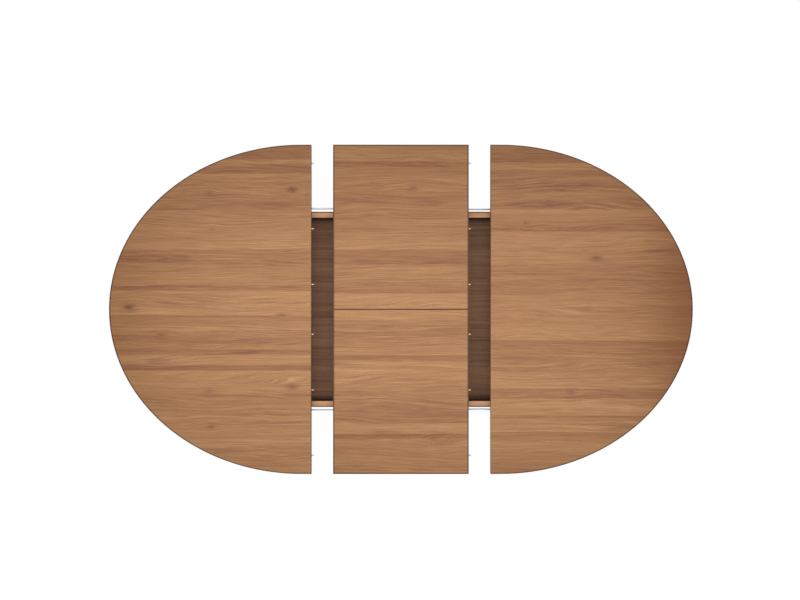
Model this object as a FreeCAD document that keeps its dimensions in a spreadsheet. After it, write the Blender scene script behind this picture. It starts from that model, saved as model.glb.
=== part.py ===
import FreeCAD, Part
import math
import os
import re

import Sketcher

# Butterfly leaf table, all sizes in millimetres.
# Frame: origin on the floor under the table's centre, X along the table, Y across it, Z up.
# The table stands open: both half tops are pulled out and the two-panel leaf lies between them.

Vector = FreeCAD.Vector
X_AXIS, Y_AXIS, Z_AXIS = Vector(1, 0, 0), Vector(0, 1, 0), Vector(0, 0, 1)

# Driving dimensions: alias, value.
SIZES = {
    # Tops
    "top_height": 750.0,
    "board_thickness": 25.0,
    "table_width": 1200.0,
    "ellipse_reach": 702.0,       # long semi-axis of a half top's rounded end
    "half_straight": 34.9,        # straight run between the inner edge and the ellipse
    "leaf_length": 494.0,
    "pull_gap": 79.7,             # open gap between the leaf and each half top
    "seam_gap": 1.0,              # between the two leaf panels
    "edge_ease": 1.5,
    # Locating pegs in the mating edges
    "peg_diameter": 6.0,
    "peg_seat": 20.0,
    "peg_reach": 10.0,
    "peg_inner": 91.0,            # distances of the pegs from the centre line
    "peg_middle": 294.5,
    "peg_outer": 533.0,
    "peg_clearance": 0.3,
    "peg_bottoming": 2.0,         # hole deeper than the peg reaches
    # Box frame
    "rail_spread": 716.0,         # over the outer faces of the side rails
    "rail_thickness": 22.0,
    "rail_length": 1000.0,
    "rail_height": 93.0,
    "rail_gap": 2.0,              # underside of the tops above the rails
    "floor_thickness": 12.0,
    "floor_rise": 3.0,            # tray floor above the rails' lower edges
    "groove_depth": 6.0,
    # Legs
    "head_width": 60.0,
    "shank_top": 54.0,
    "shank_foot": 30.0,
    "shank_corner": 5.0,
    "splay_long": 72.0,
    "splay_wide": 50.0,
    "glide_height": 8.0,
    "glide_margin": 2.0,
    # Corner braces
    "brace_inset": 128.0,
    "brace_plate": 3.0,
    "brace_height": 60.0,
    "brace_tab": 20.0,
    "bolt_diameter": 8.0,
    "bolt_in_leg": 40.0,
    "bolt_past_brace": 12.0,
    "nut_radius": 7.5,
    "nut_height": 6.5,
    # Runners of the half tops and their guides on the side rails
    "runner_standoff": 11.0,
    "runner_thickness": 4.0,
    "runner_height": 22.0,
    "runner_tail": 150.0,         # runner past the half top's inner edge
    "upper_runner_drop": 11.0,    # underside of the tops down to the upper runner
    "runner_stagger": 30.0,       # right-hand runners run this much lower
    "runner_nose": 8.0,
    "guide_length": 40.0,
    "guide_lip": 5.0,
    "guide_play": 0.3,
    "inner_guide_place": 200.0,
    "outer_guide_inset": 20.0,    # outer guide's centre in from the rail's end
    "cleat_start": 15.0,
    "cleat_length": 520.0,
    "cleat_height": 65.0,
    "cleat_thickness": 22.0,
    "cleat_taper": 90.0,
    "cleat_end_height": 21.7,     # left of the cleat's height at its outer end
    # Pads that the tops lie on
    "pad_length": 40.0,
    "pad_width": 14.0,
    "pad_play": 0.2,
    "leaf_pad_place": 150.0,
    "half_pad_inset": 60.0,
    "buffer_width": 22.0,
    "buffer_play": 0.3,
    "buffer_along": 120.0,
    "buffer_across": 220.0,
    # Swing arms that carry the leaf
    "arm_length": 155.0,
    "arm_width": 16.0,
    "arm_thickness": 5.0,
    "arm_play": 0.5,
    "arm_place": 200.0,
    "front_pivot": -90.0,
    "rear_pivot": 150.0,
    "pivot_height": 12.0,         # pin above the bracket's seat
    "pin_diameter": 8.0,
    "pin_overhang": 2.0,
    "running_fit": 0.08,
    "open_pivot_fit": 0.4,
    "ear_thickness": 3.0,
    "bracket_base": 3.0,
    "bracket_length": 46.0,
    "bracket_width": 28.0,
    "stored_drop": 55.5,          # leaf's underside stored, below the open leaf's underside
    # Concealed hinges of the leaf seam
    "hinge_place": 140.0,
    "hinge_length": 60.0,
    "hinge_depth": 16.0,
    "hinge_height": 12.0,
    "hinge_skin": 2.0,
    "hinge_lift": 0.25,           # fold axis above the top surface
    "link_outer": 8.0,
    "link_inner": 4.0,
    "link_width": 4.0,
    "link_pitch": 24.0,
    "link_play": 0.3,
    # Rack-and-pinion equaliser under the tray
    "gear_module": 4.0,
    "pinion_teeth": 14.0,
    "tooth_addendum": 0.8,        # times the module
    "tooth_dedendum": 1.0,        # times the module
    "tooth_sink": 0.2,            # tooth's foot inside the root circle, times the module
    "pressure_angle": 20.0,
    "tooth_backlash": 0.3,
    "rack_width": 12.0,
    "rack_thickness": 8.0,
    "rack_lead": 15.0,            # rack past the pinion's axis, half top pulled out
    "rack_drop": 11.0,            # tray floor's underside down to the rack
    "rack_play": 0.3,
    "pinion_thickness": 10.0,
    "axle_diameter": 10.0,
    "axle_shoulder": 16.0,
    "axle_flange": 50.0,
    "axle_flange_thickness": 5.0,
    "axle_nut_height": 5.0,
    "end_guide_width": 42.0,
    "block_floor": 6.0,           # guide block under its rack
    "keeper_length": 40.0,
    "keeper_start": 30.0,
    "keeper_width": 20.0,
    "keeper_lip": 9.0,
    "bracket_gap": 8.4,           # drop bracket clear of the end rail with the table closed
    "drop_plate": 4.0,
    "drop_flange": 40.0,          # upper flange, screwed to the top
    "drop_foot": 32.0,            # lower flange, on the rack
    "drop_width": 30.0,
    "drop_bend": 3.0,
    # Screws
    "screw_radius": 2.2,
    "screw_head_radius": 4.2,
    "screw_head_height": 3.0,
    "screw_bite": 10.0,           # screw in the wood past what it holds
    "screw_reserve": 2.0,         # board left past a screw's end
}


def size(text):
    """Put the sheet's name before every size named in an expression."""
    def named(match):
        word = match.group(0)
        return "Sizes." + word if word in SIZES else word
    return re.sub(r"[a-z_]+", named, text)


def value(text):
    """The number that an expression in the sizes stands for, read from a scratch property."""
    probe.setExpression("Placement.Base.x", size(text))
    probe.recompute()
    return probe.Placement.Base.x


# Heights and places that several pieces share, as expressions in the sizes above.
UNDERSIDE = "(top_height - board_thickness)"
RAIL_TOP = f"({UNDERSIDE} - rail_gap)"
RAIL_BOTTOM = f"({RAIL_TOP} - rail_height)"
FLOOR_BOTTOM = f"({RAIL_BOTTOM} + floor_rise)"
FLOOR_TOP = f"({FLOOR_BOTTOM} + floor_thickness)"
RAIL_FACE = "(rail_spread / 2)"
RAIL_INSIDE = f"({RAIL_FACE} - rail_thickness)"
END_INSIDE = "(rail_length / 2 - rail_thickness)"
HALF_EDGE = "(leaf_length / 2 + pull_gap)"
RUNNER_FACE = f"({RAIL_FACE} + runner_standoff)"
CLEAT_FACE = f"({RUNNER_FACE} + runner_thickness)"
UPPER_RUNNER = f"({UNDERSIDE} - upper_runner_drop)"
LOWER_RUNNER = f"({UPPER_RUNNER} - runner_stagger)"
HEAD_LONG = f"({END_INSIDE} - head_width / 2)"
HEAD_WIDE = f"({RAIL_INSIDE} - head_width / 2)"
PIVOT_LEVEL = f"({FLOOR_TOP} + pivot_height)"
ARM_RISE = f"({UNDERSIDE} - pivot_height - {PIVOT_LEVEL})"
ARM_REACH = f"(sqrt(arm_length ^ 2 - {ARM_RISE} ^ 2))"
FOLD_LEVEL = "(top_height + hinge_lift)"
RACK_TOP = f"({FLOOR_BOTTOM} - rack_drop)"
PITCH_RADIUS = "(gear_module * pinion_teeth / 2)"
RACK_ROOT = f"({PITCH_RADIUS} + gear_module * tooth_dedendum)"
RACK_BACK = f"({RACK_ROOT} + rack_width)"
RACK_MIDDLE = f"({RACK_ROOT} + rack_width / 2)"
DROP_PLACE = f"(rail_length / 2 + bracket_gap + {HALF_EDGE})"

doc = FreeCAD.newDocument("butterfly_leaf_table")
sheet = doc.addObject("Spreadsheet::Sheet", "Sizes")
for row, (alias, number) in enumerate(SIZES.items(), start=1):
    sheet.set(f"A{row}", alias)
    sheet.set(f"B{row}", str(number))
    sheet.setAlias(f"B{row}", alias)
probe = doc.addObject("Part::Box", "probe")
doc.recompute()

nodes = []
ROUND_SIDES = 8                   # sides of the bars that stand for small round ones
HEX_SIDES = 6
NEAR = 1e-3                       # widest error in a test for an edge's place


# ---------------------------------------------------------------- general helpers

def bind(thing, **expressions):
    """Bind properties of an object to expressions in the sizes."""
    for name, text in expressions.items():
        thing.setExpression(name, size(text))
    return thing


def place(thing, along="0", across="0", up="0", axis=None, angle=None):
    """Set an object's place from expressions, and its turn about an axis in degrees or by an expression."""
    by_size = isinstance(angle, str)
    if axis is not None:
        thing.Placement = FreeCAD.Placement(Vector(), FreeCAD.Rotation(axis, 1 if by_size else angle))
    if by_size:
        thing.setExpression("Placement.Rotation.Angle", size(angle))
    thing.setExpression("Placement.Base.x", size(along))
    thing.setExpression("Placement.Base.y", size(across))
    thing.setExpression("Placement.Base.z", size(up))
    return thing


def box(label, length, width, height, **where):
    """A box on the corner given by where."""
    item = doc.addObject("Part::Box", label)
    bind(item, Length=length, Width=width, Height=height)
    return place(item, **where)


def cylinder(label, radius, height, **where):
    """A cylinder that stands on the place given by where."""
    item = doc.addObject("Part::Cylinder", label)
    bind(item, Radius=radius, Height=height)
    return place(item, **where)


def prism(label, sides, radius, height, **where):
    """A regular prism that stands for a small round or hexagonal bar."""
    item = doc.addObject("Part::Prism", label)
    item.Polygon = sides
    bind(item, Circumradius=radius, Height=height)
    return place(item, **where)


def cut(label, base, *tools):
    """The base less its tools."""
    item = doc.addObject("Part::Cut", label)
    item.Base = base
    item.Tool = tools[0] if len(tools) == 1 else group(label + "_tools", tools)
    return item


def fuse(label, *members):
    """Members joined into one solid."""
    item = doc.addObject("Part::MultiFuse", label)
    item.Shapes = list(members)
    return item


def group(label, members):
    """Separate solids that share one object."""
    item = doc.addObject("Part::Compound", label)
    item.Links = list(members)
    return item


def copy_of(source, label, axis=None, angle=0.0, **where):
    """A linked copy of an object at another place."""
    item = doc.addObject("App::Link", label)
    item.LinkedObject = source
    return place(item, axis=axis, angle=angle, **where)


def mirror(label, source, normal):
    """A mirror image across the table's centre plane that the normal names."""
    item = doc.addObject("Part::Mirroring", label)
    item.Source = source
    item.Base = Vector()
    item.Normal = normal
    return item


def node(name, thing):
    """Hand an object in as a sub-part under its own label."""
    thing.Label = name
    nodes.append(thing)
    return thing


# ---------------------------------------------------------------- sketch helpers

def body(label):
    """An empty PartDesign body."""
    return doc.addObject("PartDesign::Body", label)


def sketch(owner, label, role, offset="0"):
    """A sketch on one of the body's own origin planes, moved along its normal."""
    item = owner.newObject("Sketcher::SketchObject", label)
    plane = next(part for part in owner.Origin.OriginFeatures if part.Role == role)
    item.AttachmentSupport = [(plane, "")]
    item.MapMode = "FlatFace"
    item.setExpression("AttachmentOffset.Base.z", size(offset))
    return item


def dimension(item, kind, references, text):
    """Add a dimension bound to an expression."""
    index = item.addConstraint(Sketcher.Constraint(kind, *references, value(text)))
    item.setExpression(f"Constraints[{index}]", size(text))


def polygon(item, corners):
    """A closed outline through corners given as pairs of expressions."""
    points = [Vector(value(across), value(up), 0) for across, up in corners]
    lines = []
    for start, end in zip(points, points[1:] + points[:1]):
        lines.append(item.addGeometry(Part.LineSegment(start, end), False))
    for line, following in zip(lines, lines[1:] + lines[:1]):
        item.addConstraint(Sketcher.Constraint("Coincident", line, 2, following, 1))
    for line, (across, up) in zip(lines, corners):
        dimension(item, "DistanceX", (-1, 1, line, 1), across)
        dimension(item, "DistanceY", (-1, 1, line, 1), up)
    return item


def rectangle(item, low, high):
    """A rectangle between two corners given as pairs of expressions."""
    corners = [low, (high[0], low[1]), high, (low[0], high[1])]
    return polygon(item, corners)


def circle(item, diameter, across="0", up="0"):
    """A circle with its diameter and centre given as expressions."""
    centre = Vector(value(across), value(up), 0)
    round_line = item.addGeometry(Part.Circle(centre, Z_AXIS, value(diameter) / 2), False)
    dimension(item, "Diameter", (round_line,), diameter)
    dimension(item, "DistanceX", (-1, 1, round_line, 3), across)
    dimension(item, "DistanceY", (-1, 1, round_line, 3), up)
    return item


def pad(owner, profile, length, both_ways=False, backwards=False):
    """Pad a sketch by a length."""
    item = owner.newObject("PartDesign::Pad", profile.Label + "_pad")
    item.Profile = profile
    bind(item, Length=length)
    item.Midplane = both_ways
    item.Reversed = backwards
    doc.recompute()
    return item


def pocket(owner, profile, depth, both_ways=False, backwards=False):
    """Cut a pocket, and make sure that it took material away."""
    before = owner.Shape.Volume
    item = owner.newObject("PartDesign::Pocket", profile.Label + "_pocket")
    item.Profile = profile
    bind(item, Length=depth)
    item.Midplane = both_ways
    item.Reversed = backwards
    doc.recompute()
    if not item.Shape.Volume < before - NEAR:
        raise ValueError(profile.Label + " cuts nothing")
    return item


def fillet(owner, picked, radius):
    """Round the edges of the last feature that the picked test names."""
    base = owner.Tip
    names = [f"Edge{index}" for index, edge in enumerate(base.Shape.Edges, start=1) if picked(edge)]
    item = owner.newObject("PartDesign::Fillet", owner.Label + "_fillet")
    item.Base = (base, names)
    bind(item, Radius=radius)
    doc.recompute()
    return item


def chamfer(owner, picked, leg_size):
    """Ease the edges of the last feature that the picked test names."""
    base = owner.Tip
    names = [f"Edge{index}" for index, edge in enumerate(base.Shape.Edges, start=1) if picked(edge)]
    item = owner.newObject("PartDesign::Chamfer", owner.Label + "_chamfer")
    item.Base = (base, names)
    bind(item, Size=leg_size)
    doc.recompute()
    return item


def level_edges(height):
    """A test for edges that lie flat at one height of the body's own frame."""
    def picked(edge):
        limits = edge.BoundBox
        return abs(limits.ZMin - height) < NEAR and abs(limits.ZMax - height) < NEAR
    return picked


# ---------------------------------------------------------------- tops and leaf

PEG_PLACES = [f"{sign}{name}" for sign in ("", "-") for name in ("peg_inner", "peg_middle", "peg_outer")]
REAR_PEGS = PEG_PLACES[:3]
HINGE_PLACES = ("(-hinge_place)", "hinge_place")


def half_outline(item):
    """Half an ellipse closed by a short straight run and the inner edge."""
    reach, half_width = value("ellipse_reach"), value("table_width / 2")
    straight = value("half_straight")
    ellipse = Part.Ellipse(Vector(), reach, half_width)
    curve = item.addGeometry(Part.ArcOfEllipse(ellipse, -math.pi / 2, math.pi / 2), False)
    item.exposeInternalGeometry(curve)
    # The ellipse's own axes follow it in the sketch's list of lines.
    long_axis, short_axis = curve + 1, curve + 2
    corners = [Vector(0, half_width, 0), Vector(-straight, half_width, 0),
               Vector(-straight, -half_width, 0), Vector(0, -half_width, 0)]
    lines = []
    for start, end in zip(corners, corners[1:]):
        lines.append(item.addGeometry(Part.LineSegment(start, end), False))
    upper, inner, lower = lines
    for reference in ((curve, 2, upper, 1), (upper, 2, inner, 1), (inner, 2, lower, 1),
                      (lower, 2, curve, 1), (curve, 3, -1, 1)):
        item.addConstraint(Sketcher.Constraint("Coincident", *reference))
    item.addConstraint(Sketcher.Constraint("Horizontal", long_axis))
    item.addConstraint(Sketcher.Constraint("Horizontal", upper))
    item.addConstraint(Sketcher.Constraint("Horizontal", lower))
    item.addConstraint(Sketcher.Constraint("Vertical", inner))
    item.addConstraint(Sketcher.Constraint("PointOnObject", curve, 1, -2))
    dimension(item, "Distance", (long_axis,), "2 * ellipse_reach")
    dimension(item, "Distance", (short_axis,), "table_width")
    dimension(item, "Distance", (upper,), "half_straight")
    return item


def half_top(label):
    """A half top with eased edges; it points along its own +X."""
    top = body(label)
    pad(top, half_outline(sketch(top, label + "_outline", "XY_Plane")), "board_thickness")
    for height in (value("board_thickness"), 0.0):
        chamfer(top, level_edges(height), "edge_ease")
    return top


def leaf_panel(label):
    """The rear leaf panel from the seam at Y = seam_gap / 2 outwards."""
    panel = body(label)
    outline = sketch(panel, label + "_outline", "XY_Plane")
    rectangle(outline, ("-leaf_length / 2", "seam_gap / 2"), ("leaf_length / 2", "table_width / 2"))
    pad(panel, outline, "board_thickness")
    mortises = sketch(panel, label + "_mortises", "XY_Plane", "board_thickness - hinge_skin")
    for middle in HINGE_PLACES:
        rectangle(mortises, (f"{middle} - hinge_length / 2", "0"),
                  (f"{middle} + hinge_length / 2", "seam_gap / 2 + hinge_depth"))
    pocket(panel, mortises, "hinge_height")
    outer = value("table_width / 2")

    def rim(edge):
        return edge.BoundBox.ZLength < NEAR and edge.BoundBox.YMin > outer - NEAR
    chamfer(panel, rim, "edge_ease")
    return place(panel, up=UNDERSIDE)


def peg_row(label, source, start, places):
    """Copies of a bar along +X, in a row across the table at the boards' middle height."""
    members = []
    for index, place_across in enumerate(places):
        members.append(copy_of(source, f"{label}_{index}", Y_AXIS, 90, along=start,
                               across=place_across, up="top_height - board_thickness / 2"))
    return group(label, members)


def make_tops():
    """Both half tops: the left one carries pegs, the right one has the holes for the leaf's."""
    peg = prism("peg", ROUND_SIDES, "peg_diameter / 2", "peg_seat + peg_reach")
    hole = prism("peg_hole", ROUND_SIDES, "peg_diameter / 2 + peg_clearance", "peg_reach + peg_bottoming")
    pegs = node("left_half_pegs", peg_row("left_pegs", peg, f"-{HALF_EDGE} - peg_seat", PEG_PLACES))
    right = half_top("right_top_body")
    place(right, along=f"{HALF_EDGE} + half_straight", up=UNDERSIDE)
    left = half_top("left_top_body")
    place(left, along=f"-({HALF_EDGE} + half_straight)", up=UNDERSIDE, axis=Z_AXIS, angle=180)
    holes = peg_row("right_holes", hole, HALF_EDGE, PEG_PLACES)
    return cut("left_top_pegged", left, pegs), cut("right_top_bored", right, holes), peg, hole


# ---------------------------------------------------------------- screws

def screw(label, grip):
    """A hexagon-head wood screw: its head stands below the origin, its shank runs along +Z."""
    shank = prism(label + "_shank", HEX_SIDES, "screw_radius", grip)
    head = prism(label + "_head", HEX_SIDES, "screw_head_radius", "screw_head_height",
                 up="-screw_head_height")
    return fuse(label, shank, head)


def row_of(label, source, turn, places):
    """Copies of a screw at places, each a triple of expressions."""
    axis, angle = turn
    members = []
    for index, (along, across, up) in enumerate(places):
        members.append(copy_of(source, f"{label}_{index}", axis, angle, along=along, across=across, up=up))
    return group(label, members)


DOWN, UP = (X_AXIS, 180), (X_AXIS, 0)


# ---------------------------------------------------------------- frame

def side_rail():
    """The rear side rail, grooved for the tray floor."""
    blank = box("side_rail_blank", "rail_length", "rail_thickness", "rail_height",
                along="-rail_length / 2", across=RAIL_INSIDE, up=RAIL_BOTTOM)
    groove = box("side_rail_groove", f"2 * ({END_INSIDE} + groove_depth)", "groove_depth",
                 "floor_thickness", along=f"-({END_INSIDE} + groove_depth)",
                 across=RAIL_INSIDE, up=FLOOR_BOTTOM)
    return cut("side_rail", blank, groove)


def end_rail(screws):
    """The right end rail, grooved for the tray floor."""
    blank = box("end_rail_blank", "rail_thickness", f"2 * {RAIL_INSIDE}", "rail_height",
                along=END_INSIDE, across=f"-{RAIL_INSIDE}", up=RAIL_BOTTOM)
    groove = box("end_rail_groove", "groove_depth", f"2 * {RAIL_INSIDE}", "floor_thickness",
                 along=END_INSIDE, across=f"-{RAIL_INSIDE}", up=FLOOR_BOTTOM)
    return cut("end_rail", blank, groove, *screws)


def tray_floor(screws):
    """The tray floor, let into the rails' grooves and notched round the leg heads."""
    half_long, half_wide = f"({END_INSIDE} + groove_depth)", f"({RAIL_INSIDE} + groove_depth)"
    blank = box("floor_blank", f"2 * {half_long}", f"2 * {half_wide}", "floor_thickness",
                along=f"-{half_long}", across=f"-{half_wide}", up=FLOOR_BOTTOM)
    notch = box("floor_notch", "head_width + groove_depth", "head_width + groove_depth",
                "floor_thickness", along=f"{END_INSIDE} - head_width",
                across=f"{RAIL_INSIDE} - head_width", up=FLOOR_BOTTOM)
    opposite = mirror("floor_notch_left", notch, X_AXIS)
    notches = [notch, opposite, mirror("floor_notch_front", notch, Y_AXIS),
               mirror("floor_notch_front_left", opposite, Y_AXIS)]
    return cut("tray_floor_board", blank, *notches, *screws)


def leg():
    """A splayed, tapered leg with chamfered corners under a square head, rear right."""
    head = box("leg_head", "head_width", "head_width", "rail_height", along=f"{END_INSIDE} - head_width",
               across=f"{RAIL_INSIDE} - head_width", up=RAIL_BOTTOM)
    shank = doc.addObject("Part::Wedge", "leg_shank")
    bind(shank, Xmin="-shank_top / 2", Xmax="shank_top / 2", Zmin="-shank_top / 2", Zmax="shank_top / 2",
         Ymin="0", Ymax=f"{RAIL_BOTTOM} - glide_height",
         X2min="splay_long - shank_foot / 2", X2max="splay_long + shank_foot / 2",
         Z2min="splay_wide - shank_foot / 2", Z2max="splay_wide + shank_foot / 2")
    doc.recompute()
    eased = doc.addObject("Part::Chamfer", "leg_eased")
    eased.Base = shank
    long_edges = [index for index, edge in enumerate(shank.Shape.Edges, start=1)
                  if edge.BoundBox.YLength > value("rail_height")]
    corner = value("shank_corner")
    eased.Edges = [(index, corner, corner) for index in long_edges]
    place(eased, along=HEAD_LONG, across=HEAD_WIDE, up=RAIL_BOTTOM, axis=X_AXIS, angle=-90)
    return fuse("leg_post", head, eased)


def glide():
    """The nylon glide under the rear right foot."""
    side = "(shank_foot - 2 * glide_margin)"
    return box("glide", side, side, "glide_height", along=f"{HEAD_LONG} + splay_long - {side} / 2",
               across=f"{HEAD_WIDE} + splay_wide - {side} / 2")


BRACE_LEVEL = f"({FLOOR_TOP} + (rail_height - floor_rise - floor_thickness - brace_height) / 2)"


def corner_brace(bolts):
    """A steel plate across the rear right corner, with a tab on each rail."""
    turned = place(doc.addObject("Part::Box", "brace_plate_box"), axis=Z_AXIS, angle=-45,
                   along=f"{END_INSIDE} - brace_inset - brace_plate / 2 * cos(45)",
                   across=f"{RAIL_INSIDE} - brace_plate / 2 * cos(45)", up=BRACE_LEVEL)
    bind(turned, Length="brace_inset / cos(45)", Width="brace_plate", Height="brace_height")
    side_tab = box("brace_side_tab", "brace_tab", "brace_plate", "brace_height",
                   along=f"{END_INSIDE} - brace_inset - brace_tab",
                   across=f"{RAIL_INSIDE} - brace_plate", up=BRACE_LEVEL)
    end_tab = box("brace_end_tab", "brace_plate", "brace_tab", "brace_height",
                  along=f"{END_INSIDE} - brace_plate",
                  across=f"{RAIL_INSIDE} - brace_inset - brace_tab", up=BRACE_LEVEL)
    inside = box("brace_limit", END_INSIDE, RAIL_INSIDE, "brace_height", up=BRACE_LEVEL)
    joined = fuse("brace_joined", turned, side_tab, end_tab)
    trimmed = doc.addObject("Part::Common", "brace_trimmed")
    trimmed.Base = joined
    trimmed.Tool = inside
    return cut("brace", trimmed, bolts)


def brace_bolt():
    """A hanger bolt from the leg's head through the corner brace, with its nut."""
    stud = prism("hanger_stud", ROUND_SIDES, "bolt_diameter / 2",
                 "bolt_in_leg + (brace_inset / 2 - head_width) / cos(45) + bolt_past_brace")
    nut_blank = prism("nut_blank", HEX_SIDES, "nut_radius", "nut_height",
                      up="bolt_in_leg + (brace_inset / 2 - head_width) / cos(45) + brace_plate / 2")
    bolt = group("hanger_bolt", [stud, cut("nut", nut_blank, stud)])
    item = copy_of(bolt, "corner_bolt")
    item.Placement = FreeCAD.Placement(Vector(), FreeCAD.Rotation(Z_AXIS, Vector(-1, -1, 0)))
    place(item, along=f"{END_INSIDE} - head_width + bolt_in_leg * cos(45)",
          across=f"{RAIL_INSIDE} - head_width + bolt_in_leg * cos(45)",
          up=f"{BRACE_LEVEL} + brace_height / 2")
    return group("front_corner_bolt", [item])


def four_corners(label, source):
    """The source and its mirror images in the other three corners, rear right first."""
    rear_left = mirror(label + "_rear_left", source, X_AXIS)
    front_right = mirror(label + "_front_right", source, Y_AXIS)
    front_left = mirror(label + "_front_left", rear_left, Y_AXIS)
    return {"rear_right": source, "rear_left": rear_left,
            "front_right": front_right, "front_left": front_left}


def runner_guide(label, runner_top, middle):
    """A nylon guide block on the rear rail, open outwards round a runner."""
    low = f"({runner_top} - runner_height - guide_play)"
    blank = box(label + "_blank", "guide_length", "runner_standoff + runner_thickness - guide_play",
                "runner_height + 2 * (guide_play + guide_lip)", along=f"{middle} - guide_length / 2",
                across=RAIL_FACE, up=f"{low} - guide_lip")
    channel = box(label + "_channel", "guide_length", "runner_thickness + guide_play",
                  "runner_height + 2 * guide_play", along=f"{middle} - guide_length / 2",
                  across=f"{RUNNER_FACE} - guide_play", up=low)
    return cut(label, blank, channel)


GUIDES = {"right_inner": (LOWER_RUNNER, "inner_guide_place"),
          "right_outer": (LOWER_RUNNER, "(rail_length / 2 - outer_guide_inset)"),
          "left_inner": (UPPER_RUNNER, "(-inner_guide_place)"),
          "left_outer": (UPPER_RUNNER, "(-(rail_length / 2 - outer_guide_inset))")}


def make_frame():
    """Rails, tray floor, legs, glides, braces, guides, brackets, pads and buffers."""
    rear_set = node("rear_runner_guides", group("rear_guide_set", [
        runner_guide(f"{name}_guide", runner_top, middle) for name, (runner_top, middle) in GUIDES.items()]))
    node("front_runner_guides", mirror("front_guide_set", rear_set, Y_AXIS))

    bolts = four_corners("bolts", brace_bolt())
    node("brace_bolts", group("bolt_set", list(bolts.values())))
    braces = four_corners("brace", corner_brace(bolts["rear_right"]))
    node("corner_braces", group("brace_set", list(braces.values())))
    legs = four_corners("leg", cut("leg", leg(), bolts["rear_right"]))
    glides = four_corners("glide", glide())
    for corner in legs:
        node(corner + "_leg", legs[corner])
        node(corner + "_glide", glides[corner])

    rear_rail = node("rear_side_rail", side_rail())
    node("front_side_rail", mirror("front_rail", rear_rail, Y_AXIS))
    end_screws = end_guide_screws()
    right_end = node("right_end_rail", end_rail([end_screws]))
    node("left_end_rail", group("left_end", [copy_of(right_end, "left_end_copy", Z_AXIS, 180)]))

    seat_screws, right_keeper = bracket_screws(), keeper_screws()
    left_keeper = copy_of(right_keeper, "left_keeper_screws", Z_AXIS, 180)
    node("tray_floor", tray_floor([seat_screws, right_keeper, left_keeper]))
    node("rack_guides", rack_guides(end_screws, right_keeper))
    node("arm_brackets", arm_brackets(seat_screws))
    node("frame_screws", group("frame_screw_set", [
        end_screws, copy_of(end_screws, "left_end_screws", Z_AXIS, 180), seat_screws, right_keeper,
        left_keeper]))
    make_pads()


def make_pads():
    """Nylon pads on the rails, and the buffers that the folded leaf lies on."""
    def pad_on_rail(label, middle, height):
        return box(label, "pad_length", "pad_width", height, along=f"{middle} - pad_length / 2",
                   across=f"{RAIL_FACE} - rail_thickness / 2 - pad_width / 2", up=RAIL_TOP)
    for name, middle in (("leaf_rest_pads", "leaf_pad_place"),
                         ("half_glide_pads", "(rail_length / 2 - half_pad_inset)")):
        corners = four_corners(name, pad_on_rail(name + "_one", middle, "rail_gap - pad_play"))
        node(name, group(name + "_set", list(corners.values())))
    post = box("buffer", "buffer_width", "buffer_width",
               f"{UNDERSIDE} - stored_drop - {FLOOR_TOP} - buffer_play", along="buffer_along",
               across="buffer_across", up=FLOOR_TOP)
    node("storage_buffers", group("buffer_set", list(four_corners("buffer", post).values())))


# ---------------------------------------------------------------- swing arms

EAR_SPREAD = "(arm_thickness + 2 * arm_play + 2 * ear_thickness)"
BRACKET_SCREW = f"(bracket_length / 4 + {EAR_SPREAD} / 4)"
PIVOTS = {"front": "front_pivot", "rear": "rear_pivot"}


def pivot_bracket(label, fit):
    """A U bracket on its base, pin along X, open upwards between its ears."""
    bracket = body(label)
    base = sketch(bracket, label + "_base", "XY_Plane")
    half_long, half_wide = "bracket_length / 2", "bracket_width / 2"
    rectangle(base, (f"-{half_long}", f"-{half_wide}"), (half_long, half_wide))
    pad(bracket, base, "bracket_base")
    ears = sketch(bracket, label + "_ears", "YZ_Plane")
    wide, narrow = "(arm_width / 2)", "(arm_width / 4)"
    crown, shoulder = f"(pivot_height + {wide})", f"(pivot_height + {narrow})"
    polygon(ears, [(f"-{wide}", "0"), (wide, "0"), (wide, shoulder), (narrow, crown),
                   (f"-{narrow}", crown), (f"-{wide}", shoulder)])
    pad(bracket, ears, EAR_SPREAD, both_ways=True)
    slot = sketch(bracket, label + "_slot", "YZ_Plane")
    rectangle(slot, ("-bracket_width", "bracket_base"), ("bracket_width", "pivot_height + arm_width"))
    pocket(bracket, slot, "arm_thickness + 2 * arm_play", both_ways=True)
    bore = circle(sketch(bracket, label + "_bore", "YZ_Plane"), f"pin_diameter + 2 * {fit}", "0",
                  "pivot_height")
    pocket(bracket, bore, "bracket_length", both_ways=True)
    return bracket


def bracket_places(seat, shift="0"):
    """Where the four brackets or lugs stand: along, across and up."""
    places = []
    for pivot in PIVOTS.values():
        for sign in ("-", ""):
            places.append((f"{sign}arm_place", f"{pivot} + {shift}", seat))
    return places


def bracket_screws():
    """Two screws through each frame bracket into the tray floor."""
    source = screw("floor_screw", "bracket_base + floor_thickness - screw_reserve")
    places = []
    for along, across, up in bracket_places(f"{FLOOR_TOP} + bracket_base"):
        for step in (f"-{BRACKET_SCREW}", BRACKET_SCREW):
            places.append((f"{along} + {step}", across, up))
    return row_of("bracket_screws", source, DOWN, places)


def arm_brackets(screws):
    """The four pivot brackets on the tray floor."""
    source = pivot_bracket("frame_bracket", "running_fit")
    members = [copy_of(source, f"frame_bracket_{index}", along=along, across=across, up=up)
               for index, (along, across, up) in enumerate(bracket_places(FLOOR_TOP))]
    return cut("frame_brackets", group("frame_bracket_set", members), screws)


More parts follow.
